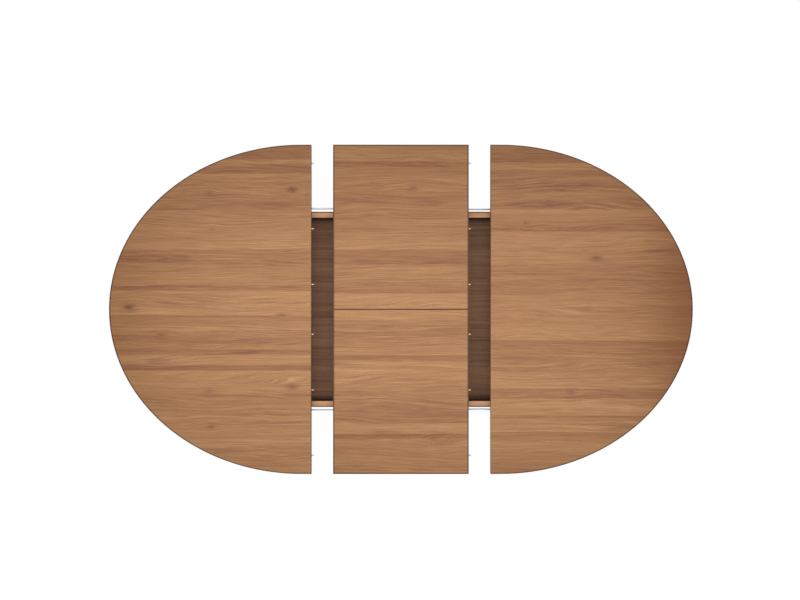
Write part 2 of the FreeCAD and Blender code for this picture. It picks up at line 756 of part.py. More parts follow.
def swing_arm(label):
    """A flat arm along +Y with a pin hole in each rounded end."""
    arm = body(label)
    outline = sketch(arm, label + "_outline", "YZ_Plane")
    radius, length = value("arm_width / 2"), value("arm_length")
    root = outline.addGeometry(Part.ArcOfCircle(Part.Circle(Vector(), Z_AXIS, radius), math.pi / 2,
                                                3 * math.pi / 2))
    tip = outline.addGeometry(Part.ArcOfCircle(Part.Circle(Vector(length, 0, 0), Z_AXIS, radius),
                                               -math.pi / 2, math.pi / 2))
    upper = outline.addGeometry(Part.LineSegment(Vector(0, radius, 0), Vector(length, radius, 0)))
    lower = outline.addGeometry(Part.LineSegment(Vector(0, -radius, 0), Vector(length, -radius, 0)))
    for reference in ((root, 1, upper, 1), (root, 2, lower, 1), (tip, 2, upper, 2), (tip, 1, lower, 2)):
        outline.addConstraint(Sketcher.Constraint("Tangent", *reference))
    outline.addConstraint(Sketcher.Constraint("Coincident", root, 3, -1, 1))
    outline.addConstraint(Sketcher.Constraint("PointOnObject", tip, 3, -1))
    dimension(outline, "Radius", (root,), "arm_width / 2")
    dimension(outline, "DistanceX", (-1, 1, tip, 3), "arm_length")
    pad(arm, outline, "arm_thickness", both_ways=True)
    for name, across in (("root", "0"), ("tip", "arm_length")):
        bore = circle(sketch(arm, f"{label}_{name}_bore", "YZ_Plane"), "pin_diameter", across, "0")
        pocket(arm, bore, "2 * arm_thickness", both_ways=True)
    return arm


def make_arms():
    """Two pairs of arms, each on a cross shaft, with the pins that carry the leaf."""
    for end, pivot in PIVOTS.items():
        for side, sign in (("left", "-"), ("right", "")):
            arm = swing_arm(f"{end}_{side}_arm_body")
            place(arm, along=f"{sign}arm_place", across=pivot, up=PIVOT_LEVEL, axis=X_AXIS,
                  angle=f"asin({ARM_RISE} / arm_length)")
            node(f"{end}_{side}_arm", arm)
        reach = f"arm_place + {EAR_SPREAD} / 2 + pin_overhang"
        node(f"{end}_arm_shaft", cylinder(f"{end}_shaft", "pin_diameter / 2", f"2 * ({reach})",
                                          along=f"-({reach})", across=pivot, up=PIVOT_LEVEL,
                                          axis=Y_AXIS, angle=90))
        pins = []
        for side, sign in (("left", "-"), ("right", "")):
            pins.append(cylinder(f"{end}_{side}_pin", "pin_diameter / 2",
                                 f"{EAR_SPREAD} + 2 * pin_overhang",
                                 along=f"{sign}arm_place - {EAR_SPREAD} / 2 - pin_overhang",
                                 across=f"{pivot} + {ARM_REACH}", up=f"{PIVOT_LEVEL} + {ARM_RISE}",
                                 axis=Y_AXIS, angle=90))
        node(f"{end}_arm_pins", group(f"{end}_pin_set", pins))


def make_leaf(peg, hole):
    """Both leaf panels, their pegs, the lugs under the rear one and the concealed hinges."""
    source = screw("lug_screw_source", "bracket_base + screw_bite")
    places = []
    for along, across, up in bracket_places(f"{UNDERSIDE} - bracket_base", ARM_REACH):
        for step in (f"-{BRACKET_SCREW}", BRACKET_SCREW):
            places.append((f"{along} + {step}", across, up))
    screws = node("lug_screws", row_of("lug_screw_set", source, UP, places))
    lugs = []
    for end, fit in (("front", "running_fit"), ("rear", "open_pivot_fit")):
        source = pivot_bracket(f"{end}_lug", fit)
        for side, sign in (("left", "-"), ("right", "")):
            lugs.append(copy_of(source, f"{end}_{side}_lug", X_AXIS, 180, along=f"{sign}arm_place",
                                across=f"{PIVOTS[end]} + {ARM_REACH}", up=UNDERSIDE))
    node("leaf_lugs", cut("lug_set", group("lug_members", lugs), screws))
    pegs = node("leaf_rear_pegs", peg_row("rear_pegs", peg, "leaf_length / 2 - peg_seat", REAR_PEGS))
    node("leaf_front_pegs", mirror("front_pegs", pegs, Y_AXIS))
    holes = peg_row("leaf_holes", hole, "-leaf_length / 2", REAR_PEGS)
    panel = cut("bored_panel", leaf_panel("leaf_panel"), pegs, holes)
    node("leaf_rear_panel", cut("rear_panel", panel, screws))
    node("leaf_front_panel", mirror("front_panel", panel, Y_AXIS))
    make_hinges()


def ring_slot(label, outer, inner, width, middle):
    """A ring about the fold axis, a width wide along X."""
    start = f"({middle} - ({width}) / 2)"
    disc = cylinder(label + "_disc", outer, width, along=start, up=FOLD_LEVEL, axis=Y_AXIS, angle=90)
    core = cylinder(label + "_core", inner, width, along=start, up=FOLD_LEVEL, axis=Y_AXIS, angle=90)
    return cut(label, disc, core)


def make_hinges():
    """Concealed hinges: housings let into the seam edges, joined by curved links."""
    housings, links = [], []
    for index, middle in enumerate(HINGE_PLACES):
        blank = box(f"housing_blank_{index}", "hinge_length", "hinge_depth", "hinge_height",
                    along=f"{middle} - hinge_length / 2", across="seam_gap / 2",
                    up="top_height - hinge_skin - hinge_height")
        slots = []
        for step in ("-link_pitch / 2", "link_pitch / 2"):
            where = f"({middle} + {step})"
            label = f"link_{index}_{len(slots)}"
            slots.append(ring_slot(label + "_slot", "link_outer + link_play", "link_inner - link_play",
                                   "link_width + 2 * link_play", where))
            ring = ring_slot(label, "link_outer", "link_inner", "link_width", where)
            above = box(label + "_above", "2 * link_width", "4 * link_outer", "2 * link_outer",
                        along=f"{where} - link_width", across="-2 * link_outer",
                        up="top_height - hinge_skin - link_play")
            links.append(cut(label + "_half", ring, above))
        housings.append(cut(f"housing_{index}", blank, *slots))
    rear = node("leaf_hinge_rear", group("rear_housings", housings))
    node("leaf_hinge_front", mirror("front_housings", rear, Y_AXIS))
    node("leaf_hinge_links", group("link_set", links))


# ---------------------------------------------------------------- half tops' slides

def cleat(label):
    """The hardwood cleat under the right half top's rear edge, its outer end cut back."""
    batten = body(label)
    profile = sketch(batten, label + "_profile", "XZ_Plane")
    polygon(profile, [("0", "0"), ("cleat_length", "0"), ("cleat_length", "-cleat_end_height"),
                      ("cleat_length - cleat_taper", "-cleat_height"), ("0", "-cleat_height")])
    pad(batten, profile, "cleat_thickness", backwards=True)
    return place(batten, along=f"{HALF_EDGE} + cleat_start", across=CLEAT_FACE, up=UNDERSIDE)


def runner(label, runner_top):
    """A steel runner on the cleat's inner face, with a rounded nose under the leaf."""
    bar = body(label)
    profile = sketch(bar, label + "_profile", "XZ_Plane")
    rectangle(profile, ("-runner_tail", "-runner_height"), ("cleat_start + cleat_length - cleat_taper", "0"))
    pad(bar, profile, "runner_thickness", backwards=True)
    nose = value("-runner_tail")

    def nose_edge(edge):
        limits = edge.BoundBox
        return limits.XMax < nose + NEAR and limits.YLength > NEAR
    fillet(bar, nose_edge, "runner_nose")
    return place(bar, along=HALF_EDGE, across=RUNNER_FACE, up=runner_top)


def rack():
    """The right half's rack: a bar with straight-sided teeth towards the pinion."""
    bar = body("rack_body")
    profile = sketch(bar, "rack_profile", "XY_Plane")
    outer_end = f"{DROP_PLACE} + drop_plate + drop_foot"
    rectangle(profile, ("-rack_lead", RACK_ROOT), (outer_end, RACK_BACK))
    pad(bar, profile, "rack_thickness")
    tooth = sketch(bar, "rack_tooth", "XY_Plane")
    half_pitch_width = "(pi * gear_module / 4 - tooth_backlash / 2)"
    slope = "tan(pressure_angle)"
    base_half = f"({half_pitch_width} + gear_module * tooth_dedendum * {slope})"
    tip_half = f"({half_pitch_width} - gear_module * tooth_addendum * {slope})"
    tip_line = f"({PITCH_RADIUS} - gear_module * tooth_addendum)"
    start = "(-gear_module * pi)"
    polygon(tooth, [(f"{start} - {base_half}", RACK_ROOT), (f"{start} - {tip_half}", tip_line),
                    (f"{start} + {tip_half}", tip_line), (f"{start} + {base_half}", RACK_ROOT)])
    one = pad(bar, tooth, "rack_thickness")
    row = bar.newObject("PartDesign::LinearPattern", "rack_teeth")
    row.Originals = [one]
    row.Direction = (next(part for part in bar.Origin.OriginFeatures if part.Role == "X_Axis"), [""])
    pitch_count = math.floor(value(HALF_EDGE) / value("gear_module * pi")) + 2
    row.Length = pitch_count * value("gear_module * pi")
    row.setExpression("Length", size(f"{pitch_count} * gear_module * pi"))
    row.Occurrences = pitch_count + 1
    bar.Tip = row
    doc.recompute()
    return place(bar, up=f"{RACK_TOP} - rack_thickness")


def drop_bracket():
    """A bent steel bracket from the right half top's underside down to the end of its rack."""
    plate = body("drop_bracket_body")
    profile = sketch(plate, "drop_profile", "XZ_Plane")
    top, low = UNDERSIDE, RACK_TOP
    inner, outer = DROP_PLACE, f"({DROP_PLACE} + drop_plate)"
    flange_end, foot_end = f"({outer} + drop_flange)", f"({outer} + drop_foot)"
    polygon(profile, [(inner, low), (foot_end, low), (foot_end, f"{low} + drop_plate"),
                      (outer, f"{low} + drop_plate"), (outer, f"{top} - drop_plate"),
                      (flange_end, f"{top} - drop_plate"), (flange_end, top), (inner, top)])
    pad(plate, profile, "drop_width", both_ways=True)
    inside = value(DROP_PLACE)

    def outer_bend(edge):
        limits = edge.BoundBox
        return limits.XMax < inside + NEAR and limits.YLength > value("drop_width") - NEAR
    fillet(plate, outer_bend, "drop_bend")
    return place(plate, across=RACK_MIDDLE)


def slide_screws():
    """Screws up through the drop bracket into the top, and up through the rack into the bracket."""
    middle = f"{DROP_PLACE} + drop_plate + drop_flange / 2"
    upper = row_of("top_flange_screws", screw("top_screw", "drop_plate + screw_bite"), UP,
                   [(middle, f"{RACK_MIDDLE} + {step}", f"{UNDERSIDE} - drop_plate")
                    for step in ("drop_width / 4", "(-drop_width) / 4")])
    lower = row_of("rack_end_screw", screw("rack_screw", "rack_thickness + drop_plate + screw_reserve"), UP,
                   [(middle, RACK_MIDDLE, f"{RACK_TOP} - rack_thickness")])
    return group("right_screw_set", [upper, lower])


def make_slides(left_top, right_top):
    """What hangs under each half top: cleats, runners, rack and drop bracket."""
    right_screws = node("right_half_screws", slide_screws())
    left_screws = node("left_half_screws", group("left_screw_set", [
        copy_of(right_screws, "left_screw_copy", Z_AXIS, 180)]))
    right_rack = node("right_rack", cut("right_rack_bar", rack(), right_screws))
    node("left_rack", group("left_rack_bar", [copy_of(right_rack, "left_rack_copy", Z_AXIS, 180)]))
    right_bracket = node("right_rack_bracket", cut("right_bracket", drop_bracket(), right_screws))
    node("left_rack_bracket", group("left_bracket",
                                    [copy_of(right_bracket, "left_bracket_copy", Z_AXIS, 180)]))
    node("right_half_top", cut("right_top", right_top, right_screws))
    node("left_half_top", cut("left_top", left_top, left_screws))
    for side, runner_top in (("right", LOWER_RUNNER), ("left", UPPER_RUNNER)):
        pieces = {"runner": runner(f"{side}_runner_body", runner_top), "cleat": cleat(f"{side}_cleat_body")}
        for name, rear in pieces.items():
            if side == "left":
                rear = mirror(f"{name}_left_side", rear, X_AXIS)
            node(f"{side}_rear_{name}", rear)
            node(f"{side}_front_{name}", mirror(f"{side}_{name}_front", rear, Y_AXIS))


# ---------------------------------------------------------------- equaliser

BLOCK_BOTTOM = f"({RACK_TOP} - rack_thickness - rack_play - block_floor)"


def end_guide_screws():
    """Two screws up through the right end guide into the end rail."""
    source = screw("end_guide_screw", f"{RAIL_BOTTOM} - {BLOCK_BOTTOM} + screw_bite")
    reach = "((end_guide_width + rack_width) / 4)"
    return row_of("end_guide_screws", source, UP,
                  [(f"{END_INSIDE} + rail_thickness / 2", f"{RACK_MIDDLE} + {step}", BLOCK_BOTTOM)
                   for step in (reach, f"-{reach}")])


def keeper_screws():
    """Two screws up through the right keeper into the tray floor."""
    source = screw("keeper_screw", f"{FLOOR_BOTTOM} - {BLOCK_BOTTOM} + floor_thickness - screw_reserve")
    return row_of("keeper_screws", source, UP,
                  [(f"keeper_start + keeper_length / 2 + {step}",
                    f"{RACK_BACK} + rack_play + keeper_width / 2", BLOCK_BOTTOM)
                   for step in ("(-keeper_length) / 4", "keeper_length / 4")])


def involute_flank(base_radius, radius, offset):
    """The point of an involute at a radius, turned by an offset angle."""
    roll = math.sqrt(max((radius / base_radius) ** 2 - 1, 0.0))
    angle = offset - (roll - math.atan(roll))
    return Vector(radius * math.cos(angle), radius * math.sin(angle), 0)


def pinion():
    """The pinion: involute teeth on a root disc, bored for its axle."""
    module, teeth = value("gear_module"), round(value("pinion_teeth"))
    pitch = value(PITCH_RADIUS)
    pressure = math.radians(value("pressure_angle"))
    root = pitch - module * value("tooth_dedendum")
    foot = root - module * value("tooth_sink")
    tip = pitch + module * value("tooth_addendum")
    base = pitch * math.cos(pressure)
    half_tooth = (math.pi * module / 2 - value("tooth_backlash")) / (2 * pitch)
    offset = half_tooth + math.tan(pressure) - pressure
    thickness = value("pinion_thickness")

    upper = [involute_flank(base, radius, offset) for radius in (base, (base + tip) / 2, tip)]
    lower = [Vector(point.x, -point.y, 0) for point in reversed(upper)]
    foot_upper = Vector(foot * math.cos(offset), foot * math.sin(offset), 0)
    foot_lower = Vector(foot_upper.x, -foot_upper.y, 0)
    edges = [Part.LineSegment(foot_upper, upper[0]), Part.Arc(*upper),
             Part.Arc(upper[-1], Vector(tip, 0, 0), lower[0]), Part.Arc(*lower),
             Part.LineSegment(lower[-1], foot_lower), Part.LineSegment(foot_lower, foot_upper)]
    outline = Part.Wire([edge.toShape() for edge in edges])
    tooth = Part.Face(outline).extrude(Vector(0, 0, thickness))
    shape = Part.makeCylinder(root, thickness)
    pitch_angle = 360 / teeth
    copies = []
    for index in range(teeth):
        copy = tooth.copy()
        # A tooth space faces each rack tooth, a quarter turn from X.
        copy.rotate(Vector(), Z_AXIS, 90 + (index + 0.5) * pitch_angle)
        copies.append(copy)
    bore = value("axle_diameter / 2 + running_fit")
    shape = shape.fuse(copies).removeSplitter().cut(Part.makeCylinder(bore, thickness))
    item = doc.addObject("Part::Feature", "pinion")
    item.Shape = shape
    item.Placement = FreeCAD.Placement(Vector(0, 0, value(PINION_BOTTOM)), FreeCAD.Rotation())
    return item


PINION_BOTTOM = f"({RACK_TOP} - rack_thickness / 2 - pinion_thickness / 2)"
PINION_TOP = f"({PINION_BOTTOM} + pinion_thickness)"


def pinion_axle():
    """The axle under the tray floor: a square flange, a shoulder, the journal and a nut."""
    flange_low = f"({FLOOR_BOTTOM} - axle_flange_thickness)"
    shoulder_low = f"({PINION_TOP} + rack_play)"
    nut_top = f"({PINION_BOTTOM} - rack_play)"
    end = f"({nut_top} - axle_nut_height)"
    flange = box("axle_flange_plate", "axle_flange", "axle_flange", "axle_flange_thickness",
                 along="-axle_flange / 2", across="-axle_flange / 2", up=flange_low)
    shoulder = cylinder("axle_shoulder_collar", "axle_shoulder / 2", f"{flange_low} - {shoulder_low}",
                        up=shoulder_low)
    journal = cylinder("axle_journal", "axle_diameter / 2", f"{shoulder_low} - {end}", up=end)
    nut = prism("axle_nut_blank", HEX_SIDES, "axle_shoulder / 2 + rack_play", "axle_nut_height", up=end)
    return group("axle_set", [fuse("axle", flange, shoulder, journal), cut("axle_nut", nut, journal)])


def rack_guides(end_screws, right_keeper):
    """The blocks that guide the racks: under the end rails and beside the pinion."""
    slot_floor = f"({RACK_TOP} - rack_thickness - rack_play)"
    guide_blank = box("end_guide_blank", "rail_thickness", "end_guide_width",
                      f"{RAIL_BOTTOM} - {BLOCK_BOTTOM}", along=END_INSIDE,
                      across=f"{RACK_MIDDLE} - end_guide_width / 2", up=BLOCK_BOTTOM)
    guide_slot = box("end_guide_slot", "rail_thickness", "rack_width + 2 * rack_play",
                     "rack_thickness + 2 * rack_play", along=END_INSIDE,
                     across=f"{RACK_ROOT} - rack_play", up=slot_floor)
    keeper_blank = box("keeper_blank", "keeper_length", "keeper_lip + rack_play + keeper_width",
                       f"{FLOOR_BOTTOM} - {BLOCK_BOTTOM}", along="keeper_start",
                       across=f"{RACK_BACK} - keeper_lip", up=BLOCK_BOTTOM)
    keeper_slot = box("keeper_slot", "keeper_length", "keeper_lip + rack_play",
                      f"{FLOOR_BOTTOM} - {slot_floor}", along="keeper_start",
                      across=f"{RACK_BACK} - keeper_lip", up=slot_floor)
    right = [cut("end_guide", guide_blank, guide_slot, end_screws),
             cut("keeper", keeper_blank, keeper_slot, right_keeper)]
    left = [copy_of(thing, thing.Name + "_left", Z_AXIS, 180) for thing in right]
    return group("rack_guide_set", right + left)


# ---------------------------------------------------------------- build, check, write

left_board, right_board, peg_bar, hole_bar = make_tops()
make_frame()
make_arms()
make_leaf(peg_bar, hole_bar)
make_slides(left_board, right_board)
node("pinion_axle", pinion_axle())
node("equaliser_pinion", pinion())
doc.removeObject(probe.Name)
doc.recompute()

for thing in doc.Objects:
    if "Invalid" in thing.State or "Error" in thing.State:
        raise ValueError(f"{thing.Name} ({thing.Label}) failed: {thing.State}")
for thing in nodes:
    if thing.Shape.isNull() or not thing.Shape.isValid():
        raise ValueError(thing.Label + " has no valid shape")

os.makedirs("parts", exist_ok=True)
for thing in nodes:
    thing.Shape.exportStep(f"parts/{thing.Label}.step")
print(len(nodes), "sub-parts written")
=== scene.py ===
import logging
import math
from collections.abc import Callable, Sequence
from dataclasses import dataclass, field
from enum import Enum
from functools import cache

import bmesh
import bpy
from bmesh.types import BMEdge, BMesh
from bpy.types import ID, Material, Mesh, Node, NodeSocket, NodeTree, Object
from mathutils import Matrix, Vector


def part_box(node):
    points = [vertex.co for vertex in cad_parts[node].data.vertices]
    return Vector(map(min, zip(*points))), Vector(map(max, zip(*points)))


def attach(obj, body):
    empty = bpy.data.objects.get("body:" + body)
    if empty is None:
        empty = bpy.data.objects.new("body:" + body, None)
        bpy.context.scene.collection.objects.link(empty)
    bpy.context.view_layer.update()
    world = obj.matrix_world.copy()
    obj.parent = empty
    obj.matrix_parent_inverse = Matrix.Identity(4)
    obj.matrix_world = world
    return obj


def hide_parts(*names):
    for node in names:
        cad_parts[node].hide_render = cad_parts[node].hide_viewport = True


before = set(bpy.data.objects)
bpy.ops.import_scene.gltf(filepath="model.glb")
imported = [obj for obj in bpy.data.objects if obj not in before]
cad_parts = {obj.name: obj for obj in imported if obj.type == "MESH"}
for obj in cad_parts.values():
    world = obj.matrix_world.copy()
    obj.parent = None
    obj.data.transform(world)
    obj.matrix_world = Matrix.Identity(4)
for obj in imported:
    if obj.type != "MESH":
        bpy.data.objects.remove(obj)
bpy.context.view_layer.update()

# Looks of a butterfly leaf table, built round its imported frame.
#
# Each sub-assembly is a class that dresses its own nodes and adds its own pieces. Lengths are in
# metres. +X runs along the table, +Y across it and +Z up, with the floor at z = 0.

LOG = logging.getLogger("butterfly_leaf_table")
Point = tuple[float, float, float]
Profile = list[tuple[float, float]]
Shares = tuple[tuple[float, float], ...]
Rgb = tuple[int, int, int]
Colour = tuple[float, float, float, float]
Stop = tuple[float, Colour]
Spots = list[tuple[Vector, Vector]]
WELD = 1e-6
DOWN = Vector((0.0, 0.0, -1.0))


def linear(*display: int) -> Colour:
    """Turn red, green and blue of 0 to 255 into the linear colour that shaders take."""
    parts = (value / 255 for value in display)
    return (*(part / 12.92 if part <= 0.04045 else ((part + 0.055) / 1.055) ** 2.4 for part in parts), 1.0)


def grey(level: float) -> Colour:
    """Give a linear grey."""
    return level, level, level, 1.0


class Axis(Enum):
    """The direction in which a board's grain runs."""

    X = 0
    Y = 1
    Z = 2


class Tone(Enum):
    """How light a leaf of veneer is, from 0 to 1."""

    DARK = 0.28
    DUSKY = 0.40
    MIDDLE = 0.50
    FAIR = 0.60
    LIGHT = 0.70


@dataclass(frozen=True)
class Strip:
    """One leaf of veneer in a lay-up."""

    width: float
    start: Tone  # Tone at its +Y edge.
    end: Tone  # Tone at its -Y edge.


def lay_up(sheet: str) -> tuple[Strip, ...]:
    """Read strips, each given as its width in millimetres and the tones of its two edges."""
    rows = (row.split() for row in sheet.split(","))
    return tuple(Strip(int(width) / 1000, Tone[start], Tone[end]) for width, start, end in rows)


def sum_of(operation: str, swapped: bool = False) -> Callable[..., "Signal"]:
    """Make an operator of Signal.

    Args:
        operation: What its Math node does.
        swapped: Whether the signal comes last.

    Returns:
        The operator.
    """
    def act(self: "Signal", *others: object) -> "Signal":
        """Do the sum."""
        return self.board.maths(operation, *((*others, self) if swapped else (self, *others)))

    return act


@dataclass(frozen=True)
class Signal:
    """A number, vector or colour that a node tree works out at each place, and that takes part in sums."""

    board: "NodeBoard"
    socket: NodeSocket

    __add__ = __radd__ = sum_of("ADD")
    __sub__, __rsub__ = sum_of("SUBTRACT"), sum_of("SUBTRACT", swapped=True)
    __mul__ = sum_of("MULTIPLY")
    __truediv__, __rtruediv__ = sum_of("DIVIDE"), sum_of("DIVIDE", swapped=True)
    __pow__ = sum_of("POWER")
    __abs__ = sum_of("ABSOLUTE")


class NodeBoard:
    """A node tree, laid out with short calls."""

    def __init__(self, tree: NodeTree, output: str) -> None:
        """Clear a tree and add its output.

        Args:
            tree: The tree.
            output: The type of its output node.
        """
        self.tree = tree
        self.tree.nodes.clear()
        self.output = self.add(output)

    def feed(self, target: NodeSocket, value: object) -> None:
        """Link a signal or a socket to the target, or set a plain value on it.

        Args:
            target: The socket that takes it.
            value: The signal, socket or value.
        """
        if isinstance(value, Signal):
            value = value.socket
        if isinstance(value, NodeSocket):
            self.tree.links.new(value, target)
        else:
            target.default_value = value

    def add(self, kind: str, inputs: dict[str | int, object] | None = None,
            **settings: object) -> Node:
        """Add a node.

        Args:
            kind: The node's type.
            inputs: What its sockets get, by their name or number.
            settings: Its plain properties.

        Returns:
            The node.
        """
        node = self.tree.nodes.new(kind)
        for key, value in settings.items():
            setattr(node, key, value)
        for key, value in (inputs or {}).items():
            self.feed(node.inputs[key], value)
        return node

    def give(self, output: str | int, kind: str, inputs: dict[str | int, object] | None = None,
             **settings: object) -> Signal:
        """Add a node and give what one of its outputs works out."""
        return Signal(self, self.add(kind, inputs, **settings).outputs[output])

    def maths(self, operation: str, *values: object) -> Signal:
        """Do a sum on signals and numbers."""
        return self.give(0, "ShaderNodeMath", dict(enumerate(values)), operation=operation)

    def seen(self) -> Signal:
        """Tell what the camera sees straight, reflected or through glass.

        Returns:
            1 for it, and 0 for the rest.
        """
        rays = self.add("ShaderNodeLightPath").outputs
        straight = self.maths("MAXIMUM", rays["Is Camera Ray"], rays["Is Glossy Ray"])
        return self.maths("MAXIMUM", straight, rays["Is Transmission Ray"])

    def show(self, share: Signal, first: Node, second: Node) -> None:
        """Show a mix of two shaders, by the second one's share."""
        parts = {0: share, 1: first.outputs[0], 2: second.outputs[0]}
        self.feed(self.output.inputs["Surface"], self.give(0, "ShaderNodeMixShader", parts))


class FinishBoard(NodeBoard):
    """The nodes of a finish's material."""

    # Sockets of the Mix node that hold colours.
    MIX_FIRST, MIX_SECOND, MIX_RESULT = 6, 7, 2

    def __init__(self, name: str) -> None:
        """Start an empty material.

        Args:
            name: The material's name.
        """
        self.material = bpy.data.materials.new(name)
        self.material.use_nodes = True
        super().__init__(self.material.node_tree, "ShaderNodeOutputMaterial")

    def coordinates(self) -> Signal:
        """Give the object coordinates."""
        return self.give("Object", "ShaderNodeTexCoord")

    def facing(self, axis: Axis) -> Signal:
        """Give how squarely a face looks along an axis of its own object, 0 to 1."""
        return abs(self.split(self.give("Normal", "ShaderNodeTexCoord"))[axis.value])

    def split(self, vector: Signal) -> list[Signal]:
        """Split a vector into its three parts."""
        return [Signal(self, part) for part in self.add("ShaderNodeSeparateXYZ", {0: vector}).outputs]

    def joined(self, *parts: object) -> Signal:
        """Join three numbers or signals into a vector."""
        return self.give(0, "ShaderNodeCombineXYZ", dict(enumerate(parts)))

    def stretched(self, vector: Signal, scale: Point, shift: Point = (0.0, 0.0, 0.0)) -> Signal:
        """Scale a vector and then shift it."""
        return self.give(0, "ShaderNodeMapping", {"Vector": vector, "Scale": scale, "Location": shift})

    def noise(self, vector: Signal, detail: float = 2.0, roughness: float = 0.5, scale: float = 1.0,
              output: str = "Fac") -> Signal:
        """Give noise at a vector: Fac gives one number of 0 to 1, and Color gives three."""
        inputs = {"Vector": vector, "Scale": scale, "Detail": detail, "Roughness": roughness}
        return self.give(output, "ShaderNodeTexNoise", inputs)

    def ramp(self, value: Signal, stops: Sequence[Stop], stepped: bool = False) -> Signal:
        """Give a colour for a value.

        Args:
            value: The value, 0 to 1.
            stops: Places and colours.
            stepped: Whether each colour holds up to the next stop.

        Returns:
            The colour.
        """
        node = self.add("ShaderNodeValToRGB", {"Fac": value})
        node.color_ramp.interpolation = "CONSTANT" if stepped else "LINEAR"
        elements = node.color_ramp.elements
        elements[0].position, elements[0].color = stops[0]
        elements[1].position, elements[1].color = stops[-1]
        for place, colour in stops[1:-1]:
            elements.new(place).color = colour
        return Signal(self, node.outputs["Color"])

    def between(self, value: Signal, low: float, high: float) -> Signal:
        """Run from 0 at low to 1 at high, smoothly, and stay there."""
        inputs = {"Value": value, "From Min": low, "From Max": high}
        return self.give("Result", "ShaderNodeMapRange", inputs, interpolation_type="SMOOTHSTEP")

    def blend(self, share: object, first: object, second: object) -> Signal:
        """Mix two colours by the second one's share."""
        inputs = {"Factor": share, self.MIX_FIRST: first, self.MIX_SECOND: second}
        return self.give(self.MIX_RESULT, "ShaderNodeMix", inputs, data_type="RGBA")

    def bump(self, height: Signal, depth: float) -> Signal:
        """Give the normal of a surface with a fine relief of a depth in metres."""
        return self.give("Normal", "ShaderNodeBump", {"Strength": 1.0, "Distance": depth, "Height": height})

    def shade(self, **inputs: object) -> Material:
        """Finish the material with one shader.

        Args:
            inputs: The shader's inputs, with underscores for spaces.

        Returns:
            The finished material.
        """
        named = {name.replace("_", " "): value for name, value in inputs.items()}
        self.feed(self.output.inputs["Surface"], self.give(0, "ShaderNodeBsdfPrincipled", named))
        return self.material


@dataclass(frozen=True)
class Mark:
    """A small place where the veneer's figure is disturbed."""

    along: float
    across: float
    depth: float = 0.6  # How dark it is, 0 to 1.
    length: float = 0.022  # Reach along the grain.
    width: float = 0.013  # Reach across the grain.

    def far(self, along: Signal, across: Signal) -> Signal:
        """Give how far a place lies from the mark's middle, as a share of its reach, squared."""
        return ((along - self.along) / self.length) ** 2.0 + ((across - self.across) / self.width) ** 2.0


class Knot(Mark):
    """A knot that the grain flows round."""

    # How tight its heart is, and how sharp the heart's edge.
    TIGHT, SHARP = 2.2, 1.4

    def heart(self, along: Signal, across: Signal) -> Signal:
        """Give how deep in the knot's heart a place lies."""
        return 1.0 / ((self.far(along, across) * self.TIGHT) ** self.SHARP + 1.0) * self.depth


class Streak(Mark):
    """A rosy brown mineral streak, broken up by the grain."""

    # Where it begins to fade and where it ends, as shares of its reach, squared.
    FADE = (0.1, 1.2)

    def stain(self, along: Signal, across: Signal) -> Signal:
        """Give how strong the stain is at a place."""
        return (1.0 - along.board.between(self.far(along, across), *self.FADE)) * self.depth


@dataclass(frozen=True)
class RoundEnd:
    """The outline of a half top past its straight: half an ellipse."""

    centre: float  # Place of the ellipse's middle along the table.
    reach: float  # From there to the round end, with its sign.
    half_width: float

    def inset(self, along: Signal, across: Signal) -> Signal:
        """Give how far a place lies inside the curve, nearly.

        Args:
            along: Place along the table.
            across: Place across the table.

        Returns:
            The distance.
        """
        board = along.board
        out = board.maths("MAXIMUM", (along - self.centre) / self.reach, 0.0) ** 2.0
        side = (across / self.half_width) ** 2.0
        return (1.0 - board.maths("SQRT", out + side)) * ((abs(self.reach) + self.half_width) / 2)


@dataclass(frozen=True)
class SquareLeaf:
    """The outline of the leaf, with its seam along the middle."""

    half_length: float
    half_width: float
    seam_factor: float = 2.0  # How many times narrower the painted shade line along an edge is at the seam.

    def inset(self, along: Signal, across: Signal) -> Signal:
        """Give how far a place lies from the nearest edge, with the seam counted as farther off."""
        edges = along.board.maths("MINIMUM", self.half_length - abs(along), self.half_width - abs(across))
        return along.board.maths("MINIMUM", edges, abs(across) * self.seam_factor)


@dataclass(frozen=True)
class Lines:
    """One layer of lines along the grain."""

    stretch: float  # Changes in a metre along the grain.
    pitch: float  # Changes in a metre across it.
    detail: float  # Octaves of finer lines.
    roughness: float
    weight: float = 1.0

    def drawn(self, along: Signal, across: Signal, layer: Signal) -> Signal:
        """Draw the lines, about 0, at the grain's own place and with a number that changes the figure."""
        spot = along.board.joined(along * self.stretch, across * self.pitch, layer)
        return (along.board.noise(spot, self.detail, self.roughness) - 0.5) * self.weight


@dataclass(frozen=True)
class Tint:
    """A colour that is laid over the wood."""

    colour: Colour
    share: float = 1.0  # How much of it shows where it is strongest.

    def over(self, wood: Signal, where: Signal) -> Signal:
        """Lay the tint over the wood's colour where a signal is 1."""
        return wood.board.blend(where if self.share == 1.0 else where * self.share, wood, self.colour)


ROSE = Tint(linear(138, 90, 64), 0.55)
MINERAL = Tint(linear(106, 62, 56))
KNOT_HEART = Tint(linear(104, 58, 40))
PORES = Tint(linear(96, 62, 40), 0.35)
# Painted shade: a darker line along the tops' edges.
RIM_SHADE = Tint(linear(70, 36, 16), 0.80)
# Painted shade: the redder brown of the light's falloff towards the table's end.
END_FALLOFF_SHADE = linear(124, 63, 22)
# Painted shade: a dark band at a frame board's outer edge, and along the tray floor's edges by the rails.
OUTER_EDGE_SHADE = Tint(linear(66, 44, 30), 0.88)
